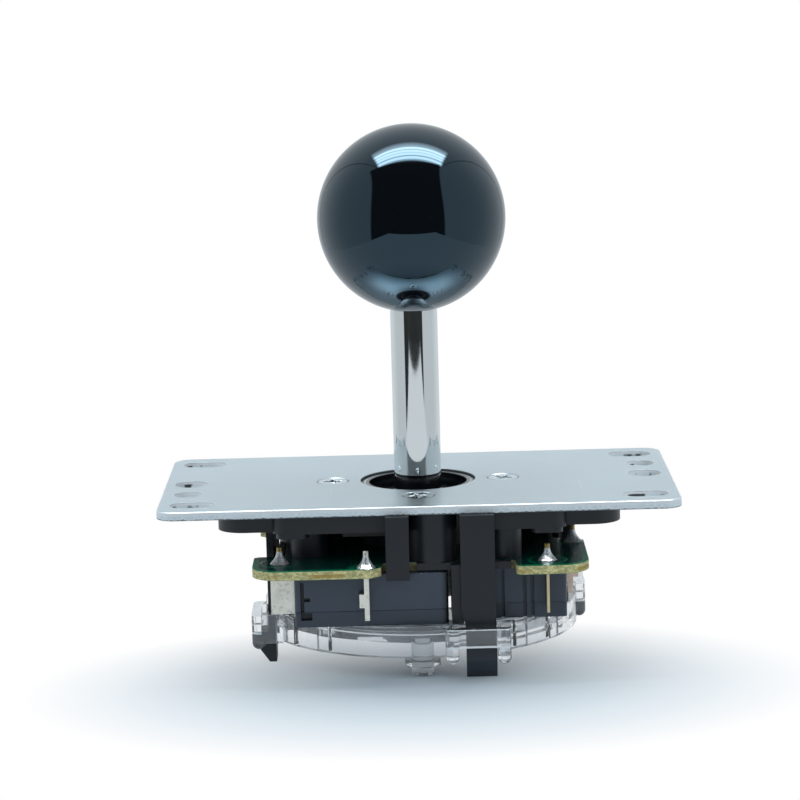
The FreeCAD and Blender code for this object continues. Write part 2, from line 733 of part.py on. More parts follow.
def make_ball():
    """Ball with a small flat underneath and a bore for its threaded insert."""
    flat_height = "(ball_height - ball_diameter / 2 + ball_flat_lift + seat_gap)"
    full = sphere("ball_full", "ball_diameter / 2", "0", "0", "ball_height")
    below = cylinder("ball_flat_tool", "ball_diameter", "2 * overrun", "0", "0",
                     "%s - 2 * overrun" % flat_height)
    bore = cylinder("ball_bore", "insert_diameter + 2 * running_clearance", "insert_length + seat_gap",
                    "0", "0", flat_height)
    return cut("ball_top", full, [below, bore])


def make_insert():
    """Threaded bush inside the ball, its lower end level with the ball's flat."""
    flat_height = "(ball_height - ball_diameter / 2 + ball_flat_lift + seat_gap)"
    bush = cylinder("insert_bush", "insert_diameter", "insert_length", "0", "0", flat_height)
    bore = cylinder("insert_bore", "stem_diameter + 2 * running_clearance", "insert_length + 2 * overrun",
                    "0", "0", "%s - overrun" % flat_height)
    return cut("ball_insert", bush, [bore])


def make_pivot():
    """Pivot ball with its collar under the shaft's shoulder, bored for the stem."""
    ball = sphere("pivot_ball", "pivot_radius", "0", "0", "-pivot_depth")
    collar = cylinder("pivot_neck", "pivot_collar", "pivot_depth + shaft_shoulder - seat_gap", "0", "0",
                      "-pivot_depth")
    whole = fuse("pivot_whole", [ball, collar])
    under = cylinder("pivot_under", "3 * pivot_radius", "pivot_radius", "0", "0",
                     "-pivot_depth - pivot_cut - pivot_radius")
    bore = cylinder("pivot_bore", "stem_diameter + 2 * running_clearance", "4 * pivot_radius", "0", "0",
                    "-pivot_depth - 2 * pivot_radius")
    return cut("pivot_bush", whole, [under, bore])


def make_spring_seat():
    """Bowl that rides on the pivot ball's underside, with a flange for the spring."""
    ring = turned_solid("seat_ring", [
        ("seat_bore / 2", "-pivot_depth - seat_bottom"),
        ("seat_flange / 2", "-pivot_depth - seat_bottom"),
        ("seat_flange / 2", "-pivot_depth - seat_flange_top"),
        ("seat_hub / 2", "-pivot_depth - seat_flange_top"),
        ("seat_hub / 2", "-pivot_depth - seat_top"),
        ("seat_bore / 2", "-pivot_depth - seat_top"),
    ])
    ball = sphere("seat_ball", "pivot_radius + seat_clearance", "0", "0", "-pivot_depth")
    return cut("spring_seat", ring, [ball])


def make_spring():
    """Round-wire coil between the seat's flange and the floor of the actuator's cup."""
    top = "(pivot_depth + seat_bottom + spring_gap)"
    length = "(%s - %s - 2 * spring_gap)" % (ACTUATOR_FLOOR, top)
    low = "-%s + spring_gap + spring_wire / 2" % ACTUATOR_FLOOR
    helix = doc.addObject("Part::Helix", "spring_path")
    helix.setExpression("Pitch", expr("spring_pitch"))
    helix.setExpression("Height", expr("%s - spring_wire" % length))
    helix.setExpression("Radius", expr("spring_coil / 2"))
    helix.setExpression("Placement.Base.z", expr(low))
    wire = doc.addObject("Part::Circle", "spring_section")
    wire.setExpression("Radius", expr("spring_wire / 2"))
    wire.Placement = FreeCAD.Placement(Vector(0, 0, 0), Rotation(Vector(1, 0, 0), 90.0))
    wire.setExpression("Placement.Base.x", expr("spring_coil / 2"))
    wire.setExpression("Placement.Base.z", expr(low))
    doc.recompute()
    spring = doc.addObject("Part::Sweep", "centering_spring")
    spring.Sections = [wire]
    spring.Spine = (helix, [])
    spring.Solid = True
    spring.Frenet = True
    return spring


def make_actuator():
    """Cup for the spring with a narrower nose below, bored for the stem."""
    bore = "stem_diameter / 2 + running_clearance"
    return turned_solid("actuator", [
        (bore, "-" + NOSE_BOTTOM),
        ("nose_diameter / 2", "-" + NOSE_BOTTOM),
        ("nose_diameter / 2", "-" + ACTUATOR_SKIRT),
        ("actuator_diameter / 2 - shaft_chamfer", "-" + ACTUATOR_SKIRT),
        ("actuator_diameter / 2", "-%s + shaft_chamfer" % ACTUATOR_SKIRT),
        ("actuator_diameter / 2", "-" + ACTUATOR_TOP),
        ("actuator_cup / 2", "-" + ACTUATOR_TOP),
        ("actuator_cup / 2", "-" + ACTUATOR_FLOOR),
        (bore, "-" + ACTUATOR_FLOOR),
    ])


def make_retaining_clip():
    """Open ring that sits in the stem's groove under the actuator's nose."""
    low = "-(%s + clip_ring_thickness + clip_ring_play)" % GROOVE_TOP
    height = "clip_ring_thickness + 2 * overrun"
    ring = cylinder("clip_ring_disc", "clip_ring_diameter", "clip_ring_thickness", "0", "0", low)
    hole = cylinder("clip_ring_hole", "clip_ring_groove + 2 * clip_ring_play", height, "0", "0",
                    "%s - overrun" % low)
    mouth = box("clip_ring_mouth_tool", "clip_ring_mouth", "clip_ring_diameter", height,
                "-clip_ring_mouth / 2", "0", "%s - overrun" % low)
    return cut("retaining_clip", ring, [hole, mouth])


# Switch board
def make_board():
    """Square board with round corners, a notch in each side for a finger and a clip, and pin holes."""
    quarter = [
        ("-board_reach", "-board_reach"),
        ("-%s - notch_slope" % NOTCH_LEFT, "-board_reach"),
        ("-" + NOTCH_LEFT, "-board_reach + notch_slope"),
        ("-" + NOTCH_LEFT, "-" + NOTCH_REACH),
        (NOTCH_RIGHT, "-" + NOTCH_REACH),
        (NOTCH_RIGHT, "-board_reach"),
    ]
    points = []
    for turn in range(4):
        points += [turned(x, y, turn) for x, y in quarter]
    slab = prism("board_slab", "XY_Plane", points, "board_thickness")
    round_edges(slab, "board_slab_corners", is_notch_corner, "board_corner")
    round_edges(slab, "board_slab_ends", is_end_corner, "board_end_corner")
    place(slab, "0", "0", "-%s" % BOARD_BOTTOM)
    height = "board_thickness + 2 * overrun"
    low = "-%s - overrun" % BOARD_BOTTOM
    tools = [cylinder("board_opening", "board_bore", height, "0", "0", low)]
    for turn in range(4):
        for name, x, y in (("common", "%s - common_pin" % SWITCH_LEFT, "-" + COMMON_OUT),
                           ("open", "-open_along", "-" + OPEN_OUT)):
            tools.append(cylinder("board_hole_%s_%d" % (name, turn), "pin_diameter + 2 * pin_clearance",
                                  height, x, y, low, turn))
    for number in range(5):
        tools.append(cylinder("board_hole_connector_%d" % number, "connector_pin + 2 * pin_clearance",
                              height, connector_pin_x(number), CONNECTOR_PIN_Y, low))
    return cut("switch_board", slab, tools)


def connector_pin_x(number):
    """Place of one connector pin along X."""
    return "%s + connector_length / 2 + %d * connector_pitch" % (CONNECTOR_LEFT, number - 2)


CONNECTOR_PIN_Y = "(%s + connector_back / 2)" % CONNECTOR_INNER
CONNECTOR_MIDDLE = "(%s - connector_height / 2)" % BOARD_TOP


def connector_pin(name, number, clearance, arm_length, foot):
    """Bent round pin: up from foot to the plug's middle height, then outward along +Y."""
    width = "connector_pin + 2 * %s" % clearance
    post = cylinder(name + "_post", width, "%s - %s" % (foot, CONNECTOR_MIDDLE), connector_pin_x(number),
                    CONNECTOR_PIN_Y, "-%s" % foot)
    elbow = sphere(name + "_elbow", "(%s) / 2" % width, connector_pin_x(number), CONNECTOR_PIN_Y,
                   "-%s" % CONNECTOR_MIDDLE)
    arm = doc.addObject("Part::Cylinder", name + "_arm")
    arm.setExpression("Radius", expr("(%s) / 2" % width))
    arm.setExpression("Height", expr(arm_length))
    place(arm, connector_pin_x(number), CONNECTOR_PIN_Y, "-%s" % CONNECTOR_MIDDLE)
    arm.Placement = FreeCAD.Placement(arm.Placement.Base, Rotation(Vector(1, 0, 0), -90.0))
    return fuse(name, [post, elbow, arm])


def make_connector():
    """Plug housing behind the plate, standing on the board and open to the back."""
    outer = box("connector_outer", "connector_length", "connector_depth", "connector_height",
                CONNECTOR_LEFT, CONNECTOR_INNER, "-" + BOARD_TOP)
    hollow = box("connector_hollow", "connector_length - 2 * connector_wall", "connector_depth",
                 "connector_height - 2 * connector_wall", "%s + connector_wall" % CONNECTOR_LEFT,
                 "%s + connector_back" % CONNECTOR_INNER, "-%s + connector_wall" % BOARD_TOP)
    holes = [connector_pin("connector_hole_%d" % number, number, "pin_clearance", "connector_back",
                           "(%s + overrun)" % BOARD_TOP)
             for number in range(5)]
    return cut("connector_housing", outer, [hollow] + holes)


def make_connector_pins():
    """Five pins through the board, up the plug housing's back wall and out into its hollow."""
    pins = [connector_pin("connector_pin_%d" % number, number, "0", "connector_depth - connector_back",
                          BOARD_BOTTOM)
            for number in range(5)]
    return group("connector_pins", pins)


def make_solder():
    """Solder cones round the eight terminal pins on the board's top face."""
    cones = []
    for turn in range(4):
        for name, x, y in (("common", "%s - common_pin" % SWITCH_LEFT, "-" + COMMON_OUT),
                           ("open", "-open_along", "-" + OPEN_OUT)):
            label = "solder_%s_%d" % (name, turn)
            fillet_part = cone(label + "_cone", "solder_base", "solder_tip", "solder_height", x, y,
                               "-%s" % BOARD_TOP, turn)
            pin = cylinder(label + "_pin", "pin_diameter + pin_clearance", "solder_height + 2 * overrun", x,
                           y, "-%s - overrun" % BOARD_TOP, turn)
            cones.append(cut(label, fillet_part, [pin]))
    return group("solder_joints", cones)


# Microswitches
def switch_block(name, height, low, turn):
    """Rounded block with a switch's outline, its underside at low."""
    points = [(SWITCH_LEFT, "-" + SWITCH_OUTER), ("switch_right", "-" + SWITCH_OUTER),
              ("switch_right", "-" + SWITCH_INNER), (SWITCH_LEFT, "-" + SWITCH_INNER)]
    body = prism(name, "XY_Plane", points, height)
    round_edges(body, name + "_corners", is_upright, "switch_edge")
    place(body, "0", "0", low, turn)
    return body


def switch_grooves(name, turn):
    """Tools for the narrow grooves in a switch's outer face and in its left end."""
    left = SWITCH_LEFT
    tall = "switch_height - 2 * groove_foot"
    outside = "-%s - overrun" % SWITCH_OUTER
    tools = [
        box(name + "_upright", "groove_width", "groove_depth + overrun", tall, "%s + groove_inset" % left,
            outside, "-%s + groove_foot" % SWITCH_BOTTOM, turn),
        box(name + "_branch", "groove_inset", "groove_depth + overrun", "groove_width",
            "%s + groove_inset + groove_width" % left, outside,
            "-%s - switch_height / 2" % SWITCH_TOP, turn),
        box(name + "_foot", "groove_inset + groove_width / 2", "groove_depth + overrun", "groove_foot",
            "%s + groove_inset + groove_width" % left, outside,
            "-%s + groove_foot" % SWITCH_BOTTOM, turn),
    ]
    for number, offset in enumerate(("end_groove_first", "end_groove_second", "end_groove_third")):
        tools.append(box("%s_end_%d" % (name, number), "groove_depth + overrun", "end_groove_width",
                         "switch_height + 2 * overrun", "%s - overrun" % left,
                         "-%s - %s" % (SWITCH_INNER, offset), "-%s - overrun" % SWITCH_BOTTOM, turn))
    return tools


def make_switch(turn):
    """One microswitch: case, cover, plunger, moving blade and two terminals."""
    side = SIDES[turn]
    name = "switch_" + side
    left = SWITCH_LEFT
    inner_length = "(switch_right - %s - 2 * switch_wall)" % left
    inner_width = "(%s - %s - 2 * switch_wall)" % (SWITCH_OUTER, SWITCH_INNER)
    inner_front = "-%s + switch_wall" % SWITCH_OUTER
    case_height = "(switch_height - switch_cover_height)"
    grooves = switch_grooves(name + "_groove", turn)
    case_block = switch_block(name + "_case_block", case_height, "-%s" % SWITCH_SEAM, turn)
    case_hollow = box(name + "_case_hollow", inner_length, inner_width,
                      "%s - switch_wall + overrun" % case_height, "%s + switch_wall" % left, inner_front,
                      "-%s - overrun" % SWITCH_SEAM, turn)
    window = box(name + "_window", "plunger_width + 2 * plunger_clearance", "switch_wall + 2 * overrun",
                 "plunger_height + 2 * plunger_clearance", "-plunger_width / 2 - plunger_clearance",
                 "-%s - switch_wall - overrun" % SWITCH_INNER,
                 "-%s - plunger_height / 2 - plunger_clearance" % PLUNGER_MIDDLE, turn)
    common_slot = box(name + "_common_slot", "switch_wall + 2 * overrun",
                      "terminal_thickness + 2 * pin_clearance", "common_neck + 2 * pin_clearance",
                      "%s - overrun" % left, "-%s - terminal_thickness / 2 - pin_clearance" % COMMON_OUT,
                      "-%s + common_rise - pin_clearance" % SWITCH_SEAM, turn)
    stub_slot = box(name + "_stub_slot", "open_thickness + 2 * pin_clearance", "switch_wall + 2 * overrun",
                    "stub_height + 2 * pin_clearance", "-open_along - stub_shift - pin_clearance",
                    "-%s - overrun" % SWITCH_OUTER,
                    "-%s - stub_drop - stub_height - pin_clearance" % SWITCH_TOP, turn)
    case = cut("switch_case_" + side, case_block, grooves + [case_hollow, window, common_slot, stub_slot])

    cover_block = switch_block(name + "_cover_block", "switch_cover_height", "-%s" % SWITCH_BOTTOM, turn)
    cover_hollow = box(name + "_cover_hollow", inner_length, inner_width, "switch_cover_height",
                       "%s + switch_wall" % left, inner_front,
                       "-%s + switch_wall" % SWITCH_BOTTOM, turn)
    cover_grooves = switch_grooves(name + "_cover_groove", turn)
    cover = cut("switch_cover_" + side, cover_block, cover_grooves + [cover_hollow])

    middle = "-%s" % PLUNGER_MIDDLE
    flange_near = "(%s + switch_wall + plunger_clearance)" % SWITCH_INNER
    rod = box(name + "_rod", "plunger_width", "%s + plunger_flange - %s" % (flange_near, PLUNGER_TIP),
              "plunger_height", "-plunger_width / 2", "-%s - plunger_flange" % flange_near,
              "%s - plunger_height / 2" % middle, turn)
    flange = box(name + "_flange", "plunger_width + 2 * plunger_lip", "plunger_flange",
                 "plunger_height + 2 * plunger_lip", "-plunger_width / 2 - plunger_lip",
                 "-%s - plunger_flange" % flange_near, "%s - plunger_height / 2 - plunger_lip" % middle,
                 turn)
    plunger = fuse("plunger_" + side, [rod, flange])

    blade_face = "(%s + plunger_flange + blade_gap)" % flange_near
    blade = box("switch_blade_" + side, "-%s - switch_wall - blade_inset + plunger_width / 2" % left,
                "blade_thickness", "blade_height", "%s + switch_wall + blade_inset" % left,
                "-%s - blade_thickness" % blade_face,
                "%s - blade_height / 2" % middle, turn)

    post_height = "switch_gap + board_thickness + pin_height + pin_root"
    common_x = "%s - common_width" % left
    common_y = "-%s - terminal_thickness / 2" % COMMON_OUT
    common_plate = box(name + "_common_plate", "common_width - pin_clearance", "terminal_thickness",
                       "common_height", common_x, common_y, "-%s - common_height" % SWITCH_TOP, turn)
    common_tab = box(name + "_common_tab", "common_width + switch_wall + 1.5 * blade_inset",
                     "terminal_thickness",
                     "common_neck", common_x, common_y, "-%s + common_rise" % SWITCH_SEAM, turn)
    common_post = cylinder(name + "_common_post", "pin_diameter",
                           post_height, "%s - common_pin" % left, "-" + COMMON_OUT,
                           "-%s - pin_root" % SWITCH_TOP, turn)
    common_arm = box(name + "_common_arm", "blade_thickness",
                     "%s - %s - blade_thickness" % (COMMON_OUT, blade_face), "common_neck",
                     "%s + switch_wall + blade_inset" % left, "-" + COMMON_OUT,
                     "-%s + common_rise" % SWITCH_SEAM, turn)
    common_terminal = fuse("common_terminal_" + side, [common_plate, common_tab, common_post, common_arm])

    open_x = "-open_along - open_thickness / 2"
    open_plate = box(name + "_open_plate", "open_thickness", "open_width", "open_shoulder", open_x,
                     "-%s - open_width / 2" % OPEN_OUT, "-%s - open_shoulder" % SWITCH_TOP, turn)
    open_strip = box(name + "_open_strip", "open_thickness", "open_tail", "open_foot", open_x,
                     "-%s + open_width / 2 - open_tail" % OPEN_OUT, "-%s - open_foot" % SWITCH_TOP, turn)
    open_stub = box(name + "_open_stub", "open_thickness", "open_step + stub_reach",
                    "stub_height", "-open_along - stub_shift", "-" + OPEN_OUT,
                    "-%s - stub_drop - stub_height" % SWITCH_TOP, turn)
    open_post = cylinder(name + "_open_post", "pin_diameter", post_height, "-open_along",
                         "-" + OPEN_OUT, "-%s - pin_root" % SWITCH_TOP, turn)
    open_terminal = fuse("open_terminal_" + side, [open_plate, open_strip, open_stub, open_post])
    return [case, cover, plunger, blade, common_terminal, open_terminal]


# Clear gate
def make_loop(turn):
    """Loop on the gate's side that a housing clip passes through, with two round-footed posts."""
    name = "gate_loop_%d" % turn
    top = "-" + GATE_TOP
    y = "-%s + loop_side / 2" % LOOP_REACH
    posts = []
    for number, (x, middle) in enumerate(((LOOP_LEFT, "%s + loop_side / 2" % LOOP_LEFT),
                                          ("%s - loop_side" % LOOP_RIGHT,
                                           "%s - loop_side / 2" % LOOP_RIGHT))):
        wall = box("%s_wall_%d" % (name, number), "loop_side",
                   "%s - loop_side / 2 - %s" % (LOOP_REACH, LOOP_ROOT), "loop_post - loop_side / 2", x, y,
                   "%s - loop_post + loop_side / 2" % top, turn)
        post = cylinder("%s_post_%d" % (name, number), "loop_side", "loop_post - loop_side / 2", middle, y,
                        "%s - loop_post + loop_side / 2" % top, turn)
        tip = sphere("%s_tip_%d" % (name, number), "loop_side / 2", middle, y,
                     "%s - loop_post + loop_side / 2" % top, turn)
        posts += [wall, post, tip]
    bar = box(name + "_bar", "%s - %s - loop_side" % (LOOP_RIGHT, LOOP_LEFT), "loop_bar", "loop_height",
              "%s + loop_side / 2" % LOOP_LEFT, "-" + LOOP_REACH, "-" + LOOP_BOTTOM, turn)
    return posts + [bar]


def gate_rib(turn, side):
    """Upright block on the gate's wall, turned by the rib angle to one side of a side's middle."""
    angle = "(%d * gate_rib_angle * 1 deg)" % side
    near = "(%s + gate_rib_step)" % GATE_RADIUS
    rib = box("gate_rib_%d_%s" % (turn, "right" if side > 0 else "left"), "gate_rib", "gate_rib",
              "gate_height - gate_rib_lift", "%s * sin(%s) - gate_rib / 2 * cos(%s)" % (near, angle, angle),
              "-%s * cos(%s) - gate_rib / 2 * sin(%s)" % (near, angle, angle),
              "-%s + gate_rib_lift" % GATE_BOTTOM, turn)
    turn_angle = 90.0 * turn + side * value_of("gate_rib_angle")
    rib.Placement = FreeCAD.Placement(rib.Placement.Base, Rotation(Vector(0, 0, 1), turn_angle))
    return rib


def make_gate_frame():
    """Clear ring with a top rim, a part-round ledge that carries the restrictor, ribs and four loops."""
    under = "-%s - overrun" % GATE_BOTTOM
    outer = cylinder("gate_outer", "2 * " + GATE_RADIUS, "gate_height", "0", "0", "-" + GATE_BOTTOM)
    bore = cylinder("gate_bore", "2 * " + GATE_INNER, "gate_height - gate_rim_thickness + overrun",
                    "0", "0", under)
    opening = cylinder("gate_opening", "2 * (%s - gate_rim_width)" % GATE_INNER,
                       "gate_height + 2 * overrun", "0", "0", under)
    solids = [outer]
    passages = []
    for turn in range(4):
        solids += make_loop(turn)
        passages.append(box("gate_passage_%d" % turn, "%s - %s - 2 * loop_side" % (LOOP_RIGHT, LOOP_LEFT),
                            "%s - loop_bar - %s + overrun" % (LOOP_REACH, LOOP_ROOT),
                            "gate_height + loop_post + 2 * overrun", "%s + loop_side" % LOOP_LEFT,
                            "-%s + loop_bar" % LOOP_REACH, "-%s - loop_post - overrun" % GATE_BOTTOM, turn))
        solids += [gate_rib(turn, side) for side in (-1, 1)]
    shell = cut("gate_shell", fuse("gate_blank", solids), [bore, opening] + passages)
    ledge_low = "-%s - restrictor_clearance - gate_ledge_thickness" % RESTRICTOR_BOTTOM
    start = value_of("gate_ledge_start") - 90.0
    ledge_disc = doc.addObject("Part::Cylinder", "gate_ledge_disc")
    ledge_disc.setExpression("Radius", expr("%s + gate_ledge_bond" % GATE_INNER))
    ledge_disc.setExpression("Height", expr("gate_ledge_thickness"))
    ledge_disc.setExpression("Angle", expr("gate_ledge_sweep"))
    ledge_disc.Placement = FreeCAD.Placement(Vector(0, 0, 0), Rotation(Vector(0, 0, 1), start))
    ledge_disc.setExpression("Placement.Base.z", expr(ledge_low))
    ledge_bore = cylinder("gate_ledge_bore", "2 * (%s - gate_ledge_width)" % GATE_INNER,
                          "gate_ledge_thickness + 2 * overrun", "0", "0", "%s - overrun" % ledge_low)
    ledge = cut("gate_ledge", ledge_disc, [ledge_bore])
    return fuse("gate_frame", [shell, ledge])


def make_restrictor():
    """Clear disc with the square window that bounds the lever, a ring under it and the selector post."""
    low = "-%s" % RESTRICTOR_BOTTOM
    disc = cylinder("restrictor_disc", "2 * %s" % RESTRICTOR_RADIUS, "restrictor_thickness", "0", "0", low)
    ring_outer = cylinder("restrictor_ring_outer_tool", "restrictor_ring_outer",
                          "restrictor_ring_height + ring_bond", "0", "0",
                          "%s - restrictor_ring_height" % low)
    ring_inner = cylinder("restrictor_ring_inner_tool", "restrictor_ring_inner",
                          "restrictor_ring_height + overrun + ring_bond", "0", "0",
                          "%s - restrictor_ring_height - overrun" % low)
    ring = cut("restrictor_ring", ring_outer, [ring_inner])
    foot = "(%s + selector_drop)" % GATE_BOTTOM
    post = cylinder("selector_post", "selector_diameter", "%s - %s" % (foot, RESTRICTOR_BOTTOM), "0",
                    "-" + SELECTOR_OUT, "-" + foot)
    collar = cylinder("selector_collar_ring", "selector_collar", "selector_collar_height", "0",
                      "-" + SELECTOR_OUT,
                      "-%s - restrictor_clearance - selector_collar_height - selector_collar_drop" % GATE_BOTTOM)
    window = box("restrictor_window_tool", "restrictor_window", "restrictor_window",
                 "restrictor_thickness + 2 * overrun", "-restrictor_window / 2", "-restrictor_window / 2",
                 "%s - overrun" % low)
    return cut("restrictor_plate", fuse("restrictor_blank", [disc, ring, post, collar]), [window])


# Build every sub-part
nodes = [make_plate(), group("plate_screws", [make_screw(turn) for turn in range(4)]), make_housing(),
         make_shaft(), make_ball(), make_insert(), make_pivot(), make_spring_seat(), make_spring(),
         make_actuator(), make_retaining_clip(), make_board(), make_connector(), make_connector_pins(),
         make_solder()]
for quarter in range(4):
    nodes += make_switch(quarter)
nodes += [make_gate_frame(), make_restrictor()]
doc.recompute()

# Every object must be sound before anything is written
for obj in doc.Objects:
    if "Invalid" in obj.State or "Error" in obj.State:
        raise RuntimeError("%s failed: %s" % (obj.Name, obj.State))
for node in nodes:
    if node.Shape.isNull() or not node.Shape.isValid():
        raise RuntimeError("%s has no valid shape" % node.Label)

os.makedirs("parts", exist_ok=True)
for node in nodes:
    node.Shape.exportStep("parts/%s.step" % node.Label)
    box_of = node.Shape.BoundBox
    print("%-24s solids %d volume %10.2f  z %7.2f %7.2f" % (node.Label, len(node.Shape.Solids),
                                                          node.Shape.Volume, box_of.ZMin, box_of.ZMax))
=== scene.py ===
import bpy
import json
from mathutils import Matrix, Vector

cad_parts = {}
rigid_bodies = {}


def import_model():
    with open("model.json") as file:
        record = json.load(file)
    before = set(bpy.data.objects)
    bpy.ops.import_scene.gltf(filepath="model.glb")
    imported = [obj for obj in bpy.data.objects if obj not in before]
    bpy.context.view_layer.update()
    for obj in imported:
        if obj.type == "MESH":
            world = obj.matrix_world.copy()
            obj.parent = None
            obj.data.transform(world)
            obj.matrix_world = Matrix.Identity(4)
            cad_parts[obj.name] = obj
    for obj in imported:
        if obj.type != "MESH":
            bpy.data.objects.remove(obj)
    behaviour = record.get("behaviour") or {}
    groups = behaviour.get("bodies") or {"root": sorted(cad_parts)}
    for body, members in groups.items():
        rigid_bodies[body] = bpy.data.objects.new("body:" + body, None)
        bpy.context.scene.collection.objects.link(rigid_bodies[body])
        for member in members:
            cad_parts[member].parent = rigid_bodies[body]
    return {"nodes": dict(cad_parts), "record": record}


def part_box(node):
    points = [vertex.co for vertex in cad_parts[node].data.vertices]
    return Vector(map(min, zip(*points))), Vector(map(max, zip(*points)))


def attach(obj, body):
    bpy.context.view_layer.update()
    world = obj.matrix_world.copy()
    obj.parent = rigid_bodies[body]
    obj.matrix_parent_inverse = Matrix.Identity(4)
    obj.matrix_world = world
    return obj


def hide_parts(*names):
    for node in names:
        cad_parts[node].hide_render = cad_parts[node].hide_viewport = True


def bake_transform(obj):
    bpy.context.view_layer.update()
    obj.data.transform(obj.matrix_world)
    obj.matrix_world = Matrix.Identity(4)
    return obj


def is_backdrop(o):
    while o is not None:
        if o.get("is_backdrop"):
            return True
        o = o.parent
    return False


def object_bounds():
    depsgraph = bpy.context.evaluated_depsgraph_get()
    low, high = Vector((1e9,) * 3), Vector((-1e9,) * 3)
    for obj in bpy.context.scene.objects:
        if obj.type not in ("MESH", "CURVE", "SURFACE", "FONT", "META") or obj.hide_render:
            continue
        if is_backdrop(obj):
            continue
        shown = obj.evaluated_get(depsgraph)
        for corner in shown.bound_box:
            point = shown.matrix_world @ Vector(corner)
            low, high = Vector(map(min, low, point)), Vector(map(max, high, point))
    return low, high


bl_info = {
    "name": "Arcade joystick lever",
    "version": (1, 0, 0),
    "blender": (4, 5, 0),
    "location": "3D View > Sidebar > Joystick",
    "description": "Dresses the packed joystick lever: turned, moulded and plated pieces with their finishes",
    "category": "Object",
}

import json
import math
from functools import reduce

import bmesh
import bpy
import numpy as np
from bpy.props import FloatProperty, FloatVectorProperty, IntProperty, PointerProperty
from mathutils import Matrix, Vector

for spare in list(bpy.data.objects):
    bpy.data.objects.remove(spare)
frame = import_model()

MM = 0.001
TURN = 2 * math.pi
WHITE = (1.0, 1.0, 1.0)
SIDES = ("front", "right", "back", "left")
PIN_PLACES = ((-25.5 * MM, -22.9 * MM), (-9.8 * MM, -28.3 * MM))
SCREW_CIRCLE = 16.0 * MM
BODY_OF = {node: body for body, members in frame["record"]["behaviour"]["bodies"].items() for node in members}


def top_of(node):
    """Highest level of a node at rest."""
    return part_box(node)[1].z


def bottom_of(node):
    """Lowest level of a node at rest."""
    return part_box(node)[0].z


def radius_of(node):
    """Half the width of a round node along X."""
    low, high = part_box(node)
    return (high.x - low.x) / 2


def a_length(name, description, default, low=0.0, high=0.1):
    """A length in metres with its own unit."""
    return FloatProperty(name=name, description=description, default=default, min=low, max=high,
                         unit="LENGTH", subtype="DISTANCE", precision=5)


def a_number(name, description, default, low=0.0, high=4.0):
    """A brightness, or another number without a unit."""
    return FloatProperty(name=name, description=description, default=default, min=low, max=high)


def a_count(name, description, default, low):
    """How many faces go round a turned piece."""
    return IntProperty(name=name, description=description, default=default, min=low, max=512)


def a_colour(name, description, default):
    """A colour, as the finish shows it under plain light."""
    return FloatVectorProperty(name=name, description=description, default=default, size=3, min=0.0,
                               max=1.0, subtype="COLOR")


class JoystickSizes(bpy.types.PropertyGroup):
    """Sizes of the dressed pieces."""
    plate_edge: a_length("Plate edge", "Width of the broken edge round the plate's holes", 0.11 * MM)
    moulding_edge: a_length("Moulding edge", "Width of the housing's rounded edges", 0.16 * MM)
    switch_edge: a_length("Switch edge", "Width of the microswitches' rounded edges", 0.11 * MM)
    clear_edge: a_length("Clear edge", "Width of the clear gate's rounded edges", 0.19 * MM)
    board_edge: a_length("Board edge", "Width of the board's broken edge", 0.05 * MM)
    sheet_edge: a_length("Sheet edge", "Width of the terminals' rolled edge", 0.06 * MM)
    small_edge: a_length("Small edge", "Width of the small turned parts' edges", 0.10 * MM)
    shaft_edge: a_length("Shaft edge", "Chamfer at the shaft's lower end", 0.28 * MM)
    shoulder_fillet: a_length("Shoulder fillet", "Radius of the rod's lower edge", 0.34 * MM)
    shaft_radius: a_length("Shaft radius", "Radius of the polished rod", 4.4 * MM)
    stem_radius: a_length("Stem radius", "Radius of the stem below the shoulder", 3.0 * MM)
    shoulder_level: a_length("Shoulder level", "Height of the shoulder over the plate", 1.05 * MM)
    groove_radius: a_length("Groove radius", "Radius of the stem in the clip's groove", 2.3 * MM)
    recess_length: a_length("Recess length", "Cross recess of a plate screw, tip to tip", 3.5 * MM)
    recess_width: a_length("Recess width", "Width of the recess's wings", 0.78 * MM)
    recess_depth: a_length("Recess depth", "Depth of the recess at its middle", 1.05 * MM)
    thread_pitch: a_length("Thread pitch", "Pitch of the plate screws", 0.5 * MM)
    spring_wire: a_length("Spring wire", "Thickness of the centring spring's wire", 0.9 * MM)
    spring_radius: a_length("Spring radius", "Radius of the coil at the wire's middle", 5.2 * MM)
    ball_segments: a_count("Ball segments", "Faces round the ball", 224, 32)
    turned_segments: a_count("Turned segments", "Faces round the turned parts", 128, 24)


